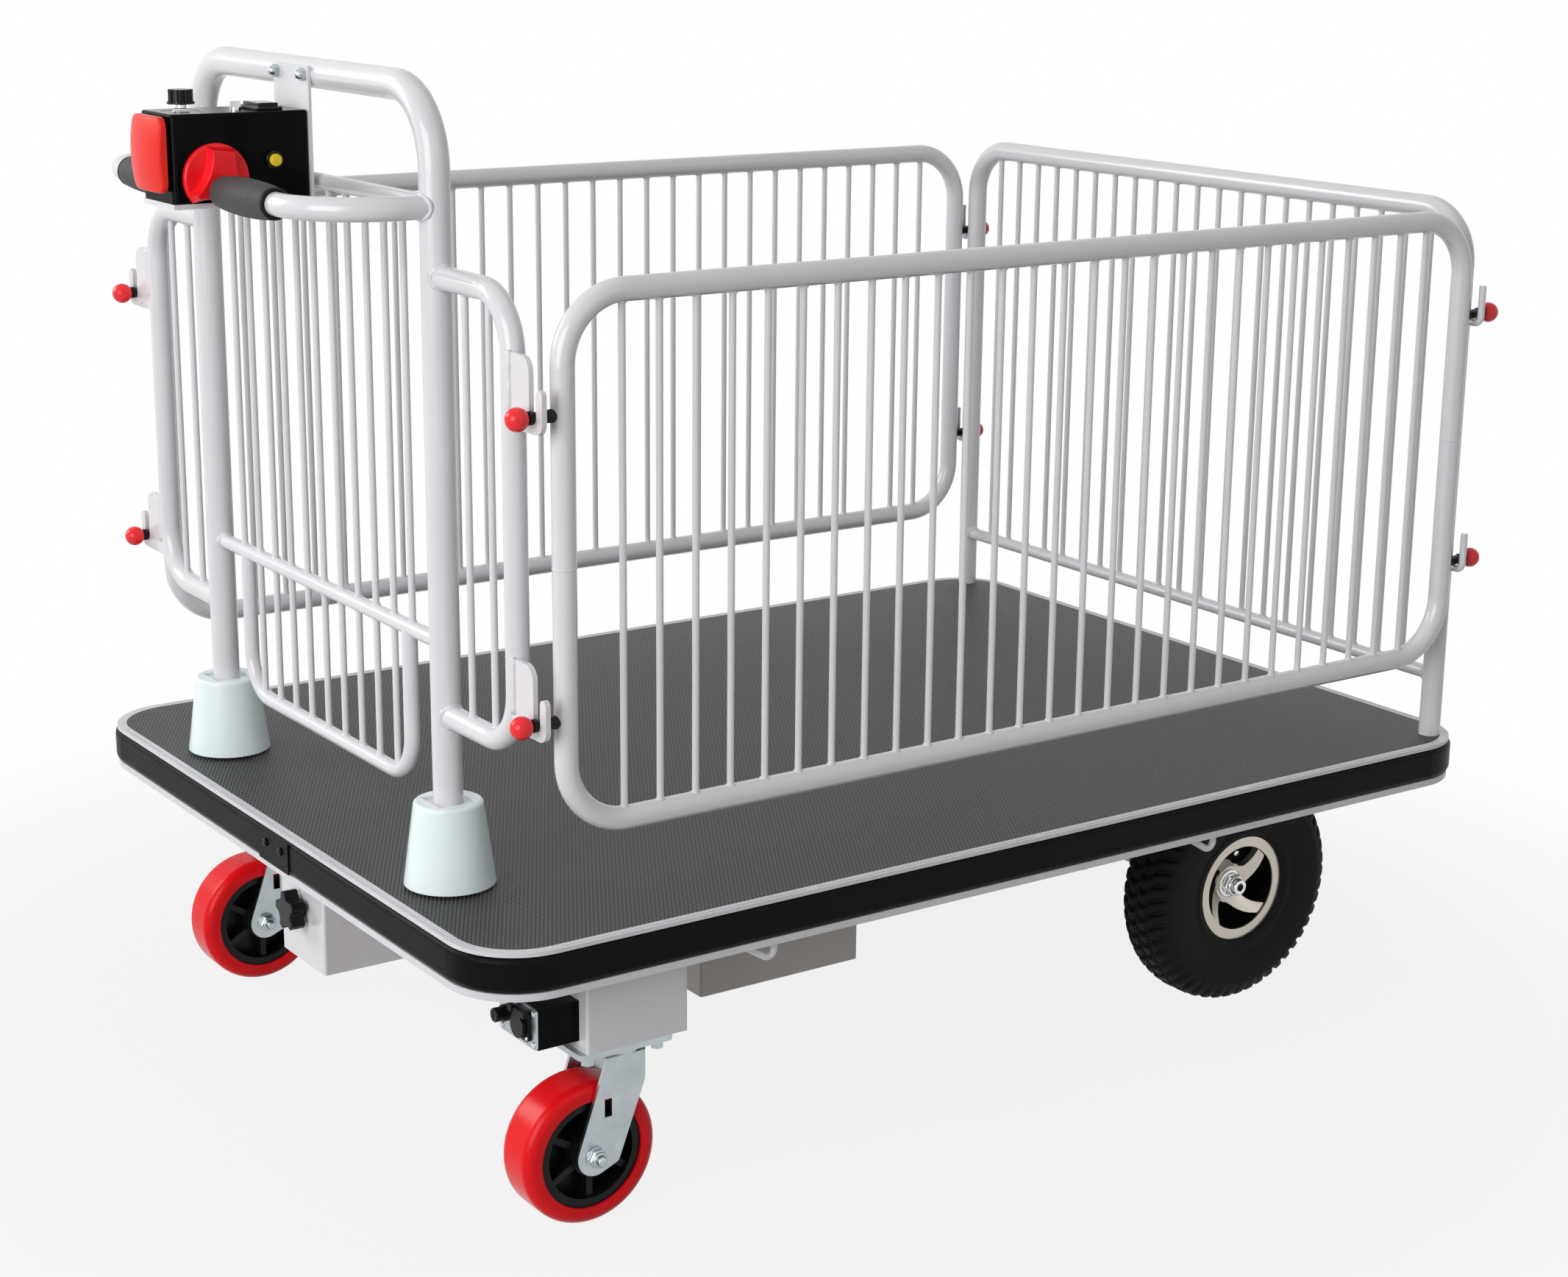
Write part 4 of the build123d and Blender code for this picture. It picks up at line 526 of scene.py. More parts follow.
def slab(low, high, bevel):
    """Block with rounded edges between two corners, in millimetres."""
    work = bmesh.new()
    bmesh.ops.create_cube(work, size=1.0)
    size = mm(*[b - a for a, b in zip(low, high)])
    middle = mm(*[(a + b) / 2 for a, b in zip(low, high)])
    place = Matrix.Translation(middle) @ Matrix.Diagonal((*size, 1))
    bmesh.ops.transform(work, verts=work.verts, matrix=place)
    bmesh.ops.bevel(work, geom=work.edges, offset=bevel / 1000, segments=3, profile=0.5, affect="EDGES")
    for face in work.faces:
        face.smooth = True
    mesh = bpy.data.meshes.new("slab")
    work.to_mesh(mesh)
    work.free()
    return mesh


def joined(name, meshes):
    """One mesh from several."""
    work = bmesh.new()
    for mesh in meshes:
        work.from_mesh(mesh)
        bpy.data.meshes.remove(mesh)
    mesh = bpy.data.meshes.new(name)
    work.to_mesh(mesh)
    work.free()
    return mesh


def node_tree(name, inputs):
    """Empty geometry tree with named inputs; returns it with its end nodes and the inputs' identifiers."""
    tree = bpy.data.node_groups.new(name, "GeometryNodeTree")
    tree.interface.new_socket("Geometry", in_out="INPUT", socket_type="NodeSocketGeometry")
    tree.interface.new_socket("Geometry", in_out="OUTPUT", socket_type="NodeSocketGeometry")
    identifiers = {}
    for label, kind in inputs.items():
        socket = tree.interface.new_socket(label, in_out="INPUT", socket_type=f"NodeSocket{kind}")
        identifiers[label] = socket.identifier
    return tree, add(tree, "NodeGroupInput"), add(tree, "NodeGroupOutput"), identifiers


def copies(tree, points, shape, rotation):
    """Instances of a shape, one on each point."""
    inputs = {"Points": points, "Instance": shape, "Rotation": rotation}
    return add(tree, "GeometryNodeInstanceOnPoints", inputs).outputs[0]


def realized(tree, geometry):
    """Plain geometry in place of instances."""
    return add(tree, "GeometryNodeRealizeInstances", {"Geometry": geometry}).outputs[0]


def dress(tree, sink, geometry, material):
    """Gives the finished geometry its material and ends the tree."""
    skin = add(tree, "GeometryNodeSetMaterial", {"Geometry": geometry, "Material": material})
    tree.links.new(skin.outputs[0], sink.inputs[0])


def grown(mesh, tree, identifiers, values):
    """Plain mesh that a geometry tree makes from a base mesh."""
    base = bpy.data.objects.new("base", mesh)
    bpy.context.collection.objects.link(base)
    modifier = base.modifiers.new("grow", "NODES")
    modifier.node_group = tree
    for label, value in values.items():
        modifier[identifiers[label]] = value
    graph = bpy.context.evaluated_depsgraph_get()
    made = bpy.data.meshes.new_from_object(base.evaluated_get(graph))
    bpy.data.objects.remove(base)
    return made


# Driven wheels. Places across the tread are millimetres from the middle of the tyre.

STAGGER = 0.5               # of a block's pitch, between neighbouring rows
ROWS_MEET = 17.0
INNER_MIDDLE = 8.5
INNER_HALF = 7.0
INNER_BEND = 0.3            # of a pitch, at the ends of an inner block
INNER_RISE = (0.6, 2.4)
INNER_FALL = (14.6, 16.6)
SHOULDER_LONG = 40.0
SHOULDER_SWEEP = 0.55       # of a pitch, over a shoulder block
SHOULDER_CURVE = 1.3
SHOULDER_RISE = (17.4, 19.4)
BLOCK_FLANK = (0.42, 0.92)  # of half a pitch, where a block falls to the groove
TREAD_FADE = (33.0, 50.0)   # where the blocks run out on the side wall
SECTION_STEP = 1.7
SECTOR_STEPS = 14
WALL_FINE = 14.0            # part of the side wall that is stepped as finely as the tread
WALL_CURVE = 0.0025
WALL_STEPS = (0.15, 0.35, 0.55, 0.72, 0.78, 0.84, 0.9, 1.0)
BEAD_LIP = 1.6
BEAD_FROM = 0.75
BEAD_TO = 0.87
PAST_TREAD = 200.0          # a place across that has no blocks
TYRE_WELD = 0.02            # seams between blocks narrower than this are closed


def rise(low, high, value):
    """Smooth step from 0 to 1."""
    share = min(max((value - low) / (high - low), 0), 1)
    return share * share * (3 - 2 * share)


def tread_height(across, turn):
    """Share of the tread's depth left standing at a place across and round the tyre."""
    side = abs(across)
    phase = turn + (STAGGER if across > 0 else 0.0)
    if side < ROWS_MEET:
        place = (side - INNER_MIDDLE) / INNER_HALF
        phase = phase + INNER_BEND * place * place
        height = rise(*INNER_RISE, side) * (1 - rise(*INNER_FALL, side))
    else:
        sweep = SHOULDER_SWEEP * ((side - ROWS_MEET) / SHOULDER_LONG) ** SHOULDER_CURVE
        phase = phase + STAGGER + sweep
        height = rise(*SHOULDER_RISE, side)
    gap = abs(phase % 1 - 0.5) * 2
    return height * (1 - rise(*BLOCK_FLANK, gap))


def wall_out(drop):
    """How far out the side wall lies at a drop below the shoulder."""
    return TYRE_WIDE / 2 - WALL_CURVE * drop * drop


def tyre_section():
    """Points from bead to bead: place along the tread, y, radius, and the normal in y and radius."""
    flat = TYRE_WIDE / 2 - TYRE_ROUND
    centre = DRIVE_Z - TYRE_ROUND
    corner = flat + TYRE_ROUND * math.pi / 2
    half = []
    across = 0.0
    while across < corner + WALL_FINE:
        if across <= flat:
            half.append((across, across, DRIVE_Z, 0.0, 1.0))
        elif across <= corner:
            angle = (across - flat) / TYRE_ROUND
            s, c = math.sin(angle), math.cos(angle)
            half.append((across, flat + TYRE_ROUND * s, centre + TYRE_ROUND * c, s, c))
        else:
            drop = across - corner
            half.append((across, wall_out(drop), centre - drop, 1.0, 0.0))
        across += SECTION_STEP
    start = half[-1][2]
    for share in WALL_STEPS:
        radius = start + (TYRE_BORE - start) * share
        lip = BEAD_LIP if BEAD_FROM < share < BEAD_TO else 0.0
        half.append((PAST_TREAD, wall_out(centre - radius) + lip, radius, 1.0, 0.0))
    other = [(-w, -y, r, -ny, nr) for w, y, r, ny, nr in reversed(half[1:])]
    return other + half


def tyre_sector():
    """One tread block's share of the tyre, round the Y axis."""
    section = tyre_section()
    points, faces = [], []
    for i in range(SECTOR_STEPS + 1):
        angle = 2 * math.pi / TYRE_BLOCKS * i / SECTOR_STEPS
        for across, y, radius, ny, nr in section:
            deep = TREAD_DEEP * (1 - rise(*TREAD_FADE, abs(across)))
            sink = deep * (1 - tread_height(across, i / SECTOR_STEPS))
            r = radius - nr * sink
            points.append(mm(r * math.cos(angle), y - ny * sink, r * math.sin(angle)))
    count = len(section)
    for i in range(SECTOR_STEPS):
        for j in range(count):
            k = (j + 1) % count
            faces.append((i * count + j, (i + 1) * count + j, (i + 1) * count + k, i * count + k))
    return mesh_of("tyre_sector", points, faces)


def tyre_tree():
    """Turns a sector round the Y axis as often as the tyre has blocks."""
    tree, source, sink, identifiers = node_tree("tyre_from_sector", {"Blocks": "Int", "Weld": "Float"})
    spots = add(tree, "GeometryNodePoints", {"Count": source.outputs["Blocks"]})
    index = add(tree, "GeometryNodeInputIndex")
    share = maths(tree, "DIVIDE", index.outputs[0], source.outputs["Blocks"])
    turn = add(tree, "ShaderNodeCombineXYZ", {"Y": maths(tree, "MULTIPLY", share, -2 * math.pi)})
    ring = copies(tree, spots.outputs[0], source.outputs["Geometry"], turn.outputs[0])
    seams = {"Geometry": realized(tree, ring), "Distance": source.outputs["Weld"]}
    whole = add(tree, "GeometryNodeMergeByDistance", seams)
    dress(tree, sink, whole.outputs[0], FINISHES["tyre"])
    return tree, identifiers


def drive_tyres():
    """Block-tread tyres in place of the plain rings."""
    tree, identifiers = tyre_tree()
    for side, way in SIDES:
        wheel = f"drive_wheel_{side}"
        mesh = grown(tyre_sector(), tree, identifiers, {"Blocks": TYRE_BLOCKS, "Weld": TYRE_WELD / 1000})
        mesh.transform(Matrix.Translation(mm(DRIVE_X, way * DRIVE_Y, DRIVE_Z)))
        piece(f"block_tyre_{side}", tidied(mesh), None, wheel, "tyre_rubber", f"drive_tyre_{side}")


def tyre_valves():
    """Capped valve stem in the top window of each rim."""
    stem = [(0, 0), (0, 3.4), (9, 3.4), (9.5, 2.6), (12, 2.6)]
    cap = [(12.4, 3.8), (20, 3.8), (21, 3.2), (21, 0)]
    for side, way in SIDES:
        start = (DRIVE_X, way * (DRIVE_Y + RIM_FACE - VALVE_IN), DRIVE_Z + VALVE_UP)
        mesh = lathe(stem + cap, start, (0, way, VALVE_TILT))
        piece(f"tyre_valve_{side}", mesh, "chrome", f"drive_wheel_{side}", "zinc_steel")


def wheel_shafts():
    """Hollow shaft end with its washer, nut and collar, and a black cup inside the bore as painted shade."""
    radius = SHAFT_D / 2
    tip = DRIVE_Y + RIM_FACE
    end = tip - SHAFT_IN
    face = RIM_HUB_FACE - SHAFT_IN
    core = [(0, 0), (0, radius), (face, radius)]
    core += [(face + a, r) for a, r in threaded(tip - RIM_HUB_FACE - 1.5, SHAFT_D)]
    core += [(end - 1.2, radius - 0.4), (end, radius - 1.6), (end, 4.4), (end - 9, 4.4), (end - 9, 0)]
    washer = [(0, 10), (0, 16.6), (0.4, 17), (1.6, 17), (2, 16.6), (2, 10), (0, 10)]
    collar = [(0, 10), (0, 12.6), (2.2, 12.6), (3.4, 11.6), (3.4, 10), (0, 10)]
    # Black cup in the shaft's hollow end: painted shade that makes the bore read dark
    bore_shade_cup = [(-8.5, 0), (-8.5, 4.6), (-0.2, 4.6), (-0.2, 3.9), (-8, 3.9), (-8, 0)]
    for side, way in SIDES:
        middle = (DRIVE_X, 0, DRIVE_Z)
        axis = (0, way, 0)
        hub = spot(middle, axis, RIM_HUB_FACE)
        nut = spot(hub, axis, WHEEL_WASHER)
        meshes = [
            lathe(core, spot(middle, axis, SHAFT_IN), axis, 40),
            lathe(washer, hub, axis, 40),
            hex_nut(nut, axis, WHEEL_NUT_AF, WHEEL_NUT_HIGH, SHAFT_D),
            lathe(collar, spot(nut, axis, WHEEL_NUT_HIGH), axis, 40),
        ]
        wheel = f"drive_wheel_{side}"
        mesh = joined(f"wheel_shaft_{side}", meshes)
        piece(f"wheel_shaft_{side}", mesh, "chrome", wheel, "zinc_steel", f"half_shaft_{side}")
        # Painted shade: the black cup set into the bore
        mesh = lathe(bore_shade_cup, spot(middle, axis, tip), axis, 32)
        piece(f"shaft_bore_shade_{side}", mesh, "pin_black", wheel, "pin_black")


def caster_axles():
    """Axle bolt with washers, lock nuts and threaded ends."""
    radius = CASTER_AXLE_D / 2
    inside = CASTER_CHEEK + 1
    half = [(0, 0), (0, radius), (inside, radius), (inside, 0)]
    washer = [(0, 6), (0, 10.6), (0.3, 11), (1.2, 11), (1.5, 10.6), (1.5, 6), (0, 6)]
    collar = [(0, 5), (0, 8.2), (1.4, 8.2), (2.6, 7.2), (2.6, 5), (0, 5)]
    stub = [(0, 0)] + threaded(14, CASTER_AXLE_D - 1) + [(14.2, 4.6), (15, 3.8), (15, 0)]
    for side, way in SIDES:
        middle = (CASTER_AXLE_X, way * CASTER_Y, CASTER_AXLE_Z)
        meshes = []
        for out in (-1, 1):
            axis = (0, out, 0)
            cheek = spot(middle, axis, CASTER_CHEEK)
            meshes += [
                lathe(half, middle, axis, 24),
                lathe(washer, cheek, axis, 32),
                hex_nut(spot(cheek, axis, CASTER_WASHER), axis, CASTER_NUT_AF, CASTER_NUT_HIGH, 10),
                lathe(collar, spot(cheek, axis, CASTER_WASHER + CASTER_NUT_HIGH), axis, 24),
                lathe(stub, cheek, axis, 24),
            ]
        name = f"caster_axle_bolt_{side}"
        mesh = joined(name, meshes)
        piece(name, mesh, "zinc", f"caster_swivel_{side}", "zinc_steel", f"caster_axle_{side}")


# Welds

ROD_STEPS = 10              # points round the weld of a rod, a rail and a tube
RAIL_STEPS = 28
TUBE_STEPS = 36
HOOK_WELD_STEPS = 14
HOOK_WELD_STEP = 4.0
HOOK_WELD_LOW = 2.0
HOOK_WELD_HALF = 0.8
BEADS = ((1.4, 3.0), (2.6, 8.0), (2.4, 5.0))  # radius and seed for rods, tubes and plates
RIPPLE = {1: 0.3, 2: 0.7, 3: 0.65, 4: 1.4}    # noise range, and the bead's least and greatest share


def saddle(centre, away, rail_axis, rod, rail, steps):
    """Loop where a round rod leaves a round rail, in millimetres."""
    away, along = Vector(away), Vector(rail_axis)
    across = away.cross(along)
    loop = []
    for i in range(steps):
        angle = 2 * math.pi * i / steps
        side = rod / 2 * math.sin(angle)
        lift = math.sqrt(max((rail / 2) ** 2 - side * side, 0))
        loop.append(Vector(centre) + rod / 2 * math.cos(angle) * along + side * across + lift * away)
    return loop


def weld_tree():
    """Sweeps an uneven bead along closed loops."""
    inputs = {"Bead": "Float", "Seed": "Float", "Finish": "Material"}
    tree, source, sink, identifiers = node_tree("weld_bead", inputs)
    path = add(tree, "GeometryNodeMeshToCurve", {"Mesh": source.outputs["Geometry"]})
    place = add(tree, "GeometryNodeInputPosition")
    inputs = {"Vector": place.outputs[0], "W": source.outputs["Seed"], "Scale": per(4)}
    ripple = add(tree, "ShaderNodeTexNoise", inputs, noise_dimensions="4D")
    size = add(tree, "ShaderNodeMapRange", {"Value": ripple.outputs["Fac"], **RIPPLE})
    bead = {"Resolution": 5, "Radius": source.outputs["Bead"]}
    profile = add(tree, "GeometryNodeCurvePrimitiveCircle", bead)
    sweep = add(
        tree, "GeometryNodeCurveToMesh",
        {"Curve": path.outputs[0], "Profile Curve": profile.outputs[0], "Scale": size.outputs["Result"]},
    )
    soft = add(tree, "GeometryNodeSetShadeSmooth", {0: sweep.outputs[0]})
    dress(tree, sink, realized(tree, soft.outputs[0]), source.outputs["Finish"])
    return tree, identifiers


def row(count, pitch):
    """Evenly spaced offsets about zero."""
    return [(i - (count - 1) / 2) * pitch for i in range(count)]


def rods_between(span, pitch):
    """Offsets of as many rods as fit a span."""
    return row(int((span - 2 * ROD_SPACE) / pitch) + 1, pitch)


def upright_welds(places, low, high, rail_axis, low_rail, high_rail):
    """Loops at both ends of upright rods between two rails."""
    loops = []
    for x, y in places:
        loops.append(saddle((x, y, low), (0, 0, 1), rail_axis, ROD_D, low_rail, ROD_STEPS))
        loops.append(saddle((x, y, high), (0, 0, -1), rail_axis, ROD_D, high_rail, ROD_STEPS))
    return loops


def hook_weld(way, z):
    """Long narrow loop up the front of a hook plate, where it meets the ear's tube."""
    y = way * (EAR_Y + math.sqrt((EAR_TUBE / 2) ** 2 - HOOK_FRONT ** 2))
    x = ARCH_X - HOOK_FRONT
    heights = [z + HOOK_WELD_LOW + HOOK_WELD_STEP * i for i in range(HOOK_WELD_STEPS)]
    up = [Vector((x, y - HOOK_WELD_HALF, h)) for h in heights]
    return up + [Vector((x, y + HOOK_WELD_HALF, h)) for h in reversed(heights)]


def arch_welds():
    """Rods of the grille and the ears, then rails, ears and handles on the posts."""
    across, up = (0, 1, 0), (0, 0, 1)
    rods = [(ARCH_X, y) for y in row(GRILLE_UPPER_RODS, ROD_PITCH)]
    loops = upright_welds(rods, GRILLE_CROSS, GRILLE_UPPER, across, GRILLE_RAIL, GRILLE_RAIL)
    rods = [(ARCH_X, y) for y in row(GRILLE_LOWER_RODS, ROD_PITCH)]
    loops += upright_welds(rods, GRILLE_LOW, GRILLE_CROSS, across, GRILLE_RAIL, GRILLE_RAIL)
    rods = [(ARCH_X, way * (ARCH_Y + out)) for way in (-1, 1) for out in EAR_RODS]
    loops += upright_welds(rods, EAR_LOW, EAR_TOP, across, EAR_TUBE, EAR_TUBE)
    tubes, plates = [], []
    for way in (-1, 1):
        y = way * ARCH_Y
        for z in (GRILLE_UPPER, GRILLE_CROSS):
            tubes.append(saddle((ARCH_X, y, z), (0, -way, 0), up, GRILLE_RAIL, ARCH_TUBE, RAIL_STEPS))
        for z in (EAR_TOP, EAR_LOW):
            tubes.append(saddle((ARCH_X, y, z), (0, way, 0), up, EAR_TUBE, ARCH_TUBE, TUBE_STEPS))
        tubes.append(saddle((ARCH_X, y, HANDLE_Z), (-1, 0, 0), up, HANDLE_TUBE, ARCH_TUBE, TUBE_STEPS))
        plates += [hook_weld(way, z) for z in HOOK_PINS]
    return loops, tubes, plates


def gate_welds():
    """Rods of the gate and its lower rail on the posts."""
    rods = [(GATE_X, y) for y in rods_between(2 * GATE_Y, GATE_ROD_PITCH)]
    loops = upright_welds(rods, GATE_RAIL_Z, GATE_TOP, (0, 1, 0), GATE_RAIL, GATE_TUBE)
    tubes = []
    for way in (-1, 1):
        centre = (GATE_X, way * GATE_Y, GATE_RAIL_Z)
        tubes.append(saddle(centre, (0, -way, 0), (0, 0, 1), GATE_RAIL, GATE_TUBE, RAIL_STEPS))
    return loops, tubes, []


def panel_welds(way):
    """Rods of one side panel."""
    middle = (PANEL_FRONT + PANEL_REAR) / 2
    rods = [(middle + x, way * PANEL_Y) for x in rods_between(PANEL_REAR - PANEL_FRONT, ROD_PITCH)]
    return upright_welds(rods, PANEL_LOW, PANEL_TOP, (1, 0, 0), PANEL_TUBE, PANEL_TUBE), [], []


def loop_mesh(loops):
    """Edges of closed loops, as the base of a sweep."""
    points, edges = [], []
    for loop in loops:
        first = len(points)
        points += [p / 1000 for p in loop]
        edges += [(first + i, first + (i + 1) % len(loop)) for i in range(len(loop))]
    return mesh_of("loops", points, edges=edges)


def welds():
    """Painted weld beads, one piece for each body."""
    tree, identifiers = weld_tree()
    for body, kinds in (
        ("chassis", arch_welds()),
        ("rear_gate", gate_welds()),
        ("side_panel_right", panel_welds(-1)),
        ("side_panel_left", panel_welds(1)),
    ):
        meshes = []
        for loops, (bead, seed) in zip(kinds, BEADS):
            if loops:
                values = {"Bead": bead / 1000, "Seed": seed, "Finish": FINISHES["frame"]}
                meshes.append(grown(loop_mesh(loops), tree, identifiers, values))
        mesh = tidied(joined(f"welds_{body}", meshes))
        piece(f"weld_beads_{body}", mesh, "frame", body, "frame_paint")


def tube_joints():
    """Fine ring where each panel's end tubes are butted at half height."""
    z = (PANEL_LOW + PANEL_TOP) / 2
    half = PANEL_TUBE / 2
    inner, foot, crown = half - 0.3, half + 0.05, half + 0.35
    ridge = [(-0.9, foot), (-0.3, crown), (0.3, crown), (0.9, foot)]
    profile = [(-0.9, inner), *ridge, (0.9, inner), (-0.9, inner)]
    for side, way in SIDES:
        meshes = [lathe(profile, (x, way * PANEL_Y, z), (0, 0, 1), 32) for x in (PANEL_FRONT, PANEL_REAR)]
        mesh = joined("tube_joints", meshes)
        piece(f"tube_joints_{side}", mesh, "frame", f"side_panel_{side}", "frame_paint")


# Screws. Places are millimetres from the piece that they hold.

DOME_FLAT = 0.55            # height of a dome as a share of its radius
CHARGER_INSET = 4.8
CHARGER_SUNK = 1.2
FLANGE_INSET = 3.6
FLANGE_SEAT = 1.5
FLANGE_THICK = 3.0
JOINT_SUNK = 0.8
JOINT_RAISED = 4.0
SHELF_IN = 12.0
SHELF_APART = 22.0


def screw_tree():
    """Sets one screw head on each point, facing along the point's own direction."""
    tree, source, sink, identifiers = node_tree("screw_heads", {"Radius": "Float", "Finish": "Material"})
    facing = add(tree, "GeometryNodeInputNamedAttribute", {"Name": "facing"}, data_type="FLOAT_VECTOR")
    turn = add(tree, "FunctionNodeAlignRotationToVector", {"Vector": facing.outputs[0]}, axis="Z")
    ball = {"Segments": 16, "Rings": 8, "Radius": source.outputs["Radius"]}
    dome = add(tree, "GeometryNodeMeshUVSphere", ball)
    low = add(tree, "GeometryNodeTransform", {"Geometry": dome.outputs[0], "Scale": (1.0, 1.0, DOME_FLAT)})
    heads = copies(tree, source.outputs["Geometry"], low.outputs[0], turn.outputs[0])
    soft = add(tree, "GeometryNodeSetShadeSmooth", {0: realized(tree, heads)})
    dress(tree, sink, soft.outputs[0], source.outputs["Finish"])
    return tree, identifiers


def four_corners(x, low, high, inset):
    """Points near the corners of an upright plate."""
    edge = inset / 1000
    return [(x, y, z) for y in (low.y + edge, high.y - edge) for z in (low.z + edge, high.z - edge)]


def screws():
    """Dome screws of the charger plate, its socket, the bumper joint and the control shelf."""
    tree, identifiers = screw_tree()
    plate_low, plate_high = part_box("charger_plate")
    flange_low, flange_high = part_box("charge_socket")
    joint_low, joint_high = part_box("bumper_joint")
    shelf_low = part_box("control_bracket")[0]
    front, down = (-1.0, 0.0, 0.0), (0.0, 0.0, -1.0)
    corners = four_corners(plate_low.x + CHARGER_SUNK / 1000, plate_low, plate_high, CHARGER_INSET)
    flange_face = plate_low.x + FLANGE_SEAT / 1000 - FLANGE_THICK / 1000
    flange = four_corners(flange_face, flange_low, flange_high, FLANGE_INSET)
    middle = (joint_low.z + joint_high.z) / 2 + JOINT_RAISED / 1000
    quarter = (joint_high.y - joint_low.y) / 4
    joint_face = joint_low.x + JOINT_SUNK / 1000
    joint = [(joint_face, y, middle) for y in (joint_low.y + quarter, joint_high.y - quarter)]
    shelf = [(shelf_low.x + SHELF_IN / 1000, way * SHELF_APART / 1000, shelf_low.z) for way in (-1, 1)]
    for name, places, facing, radius, key, slot in (
        ("charger_plate_screws", corners, front, 3.3, "chrome", "zinc_steel"),
        ("socket_screws", flange, front, 2.2, "chrome", "zinc_steel"),
        ("bumper_joint_screws", joint, front, 4.4, "abs_black", "bumper_rubber"),
        ("shelf_screws", shelf, down, 4.0, "frame", "frame_paint"),
    ):
        base = mesh_of(name, places)
        way = base.attributes.new("facing", "FLOAT_VECTOR", "POINT")
        for item in way.data:
            item.vector = facing
        values = {"Radius": radius / 1000, "Finish": FINISHES[key]}
        piece(name, tidied(grown(base, tree, identifiers, values)), key, "chassis", slot)


# Control head

GAUGE_STEP = 3.6            # height of the gauge's flange
SCALE_TICKS = 11
SCALE_FIRST = -45.0         # degrees
SCALE_STEP = 27.0
SCALE_PAST = 5.0            # ring past the first and last tick
SCALE_RADIUS = 18.0
SCALE_RING_OUT = 2.6
SCALE_LINE = 0.3
TICK_SIZE = (3.5, 0.9, 0.3)


def grip_rims_and_end_shade():
    """Black lip at the outer end of each grip: partly a real black core at the grip's end, partly painted
    shade standing in for the shaded end face of the foam.
    """
    half = HANDLE_TUBE / 2
    bore, edge, crown = half + 0.1, half + 3.0, half + 4.0
    profile = [(0, bore), (0, edge), (0.8, crown), (2.6, crown), (3.4, edge), (3.4, bore), (0, bore)]
    meshes = []
    for way in (-1, 1):
        meshes.append(lathe(profile, (HANDLE_X, way * (GRIP_OUT - 0.6), HANDLE_Z), (0, way, 0), 32))
    piece("grip_rims_and_end_shade", joined("grip_rims_and_end_shade", meshes), "nylon_black", "chassis", "grip_foam")


def horn_collar():
    """Black lip round the button."""
    bore, rim = HORN_D / 2 + 0.35, HORN_COLLAR_D / 2
    lip = [(2.6, rim), (4.2, rim - 0.6), (5, rim - 1.6), (5, bore + 0.5), (4.4, bore)]
    profile = [(0, bore), (0, rim), *lip, (0, bore)]
    mesh = lathe(profile, (HORN_X, HORN_Y, HORN_Z), (0, -1, 0), 40)
    piece("horn_collar", mesh, "abs_black", "chassis", "black_plastic")


def knob_bush():
    """Plated bush with its nut under the top knob."""
    profile = [(0, 3.1), (0, 5.5)] + threaded(7, BUSH_D, 1.0) + [(7, 4.9), (7, 3.1), (0, 3.1)]
    thick = 0.8
    washer = [(0, 5), (0, 9), (thick, 9), (thick, 5), (0, 5)]
    centre = (KNOB_X, KNOB_Y, BOX_TOP)
    up = (0, 0, 1)
    meshes = [
        lathe(profile, centre, up, 32),
        lathe(washer, centre, up, 32),
        hex_nut(spot(centre, up, thick), up, 14, 3, 10),
    ]
    piece("knob_bush", joined("knob_bush", meshes), "chrome", "chassis", "zinc_steel", "control_bushes")


def gauge():
    """Stepped bezel with a clear window."""
    low, high = [corner * 1000 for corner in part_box("battery_gauge")]
    step = low.z + GAUGE_STEP
    base = slab((low.x, low.y, low.z), (high.x, high.y, step), 0.9)
    bezel = slab((low.x + 2.6, low.y + 5, step - 1), (high.x - 2.6, high.y - 3, high.z), 0.7)
    mesh = joined("gauge_bezel", [base, bezel])
    piece("gauge_bezel", mesh, "abs_black", "chassis", "gauge_plastic", "battery_gauge")
    window = slab((low.x + 5, low.y + 9, high.z - 1), (high.x - 5, high.y - 7, high.z + 0.2), 0.3)
    piece("gauge_window", window, "lens", "chassis", "gauge_plastic")


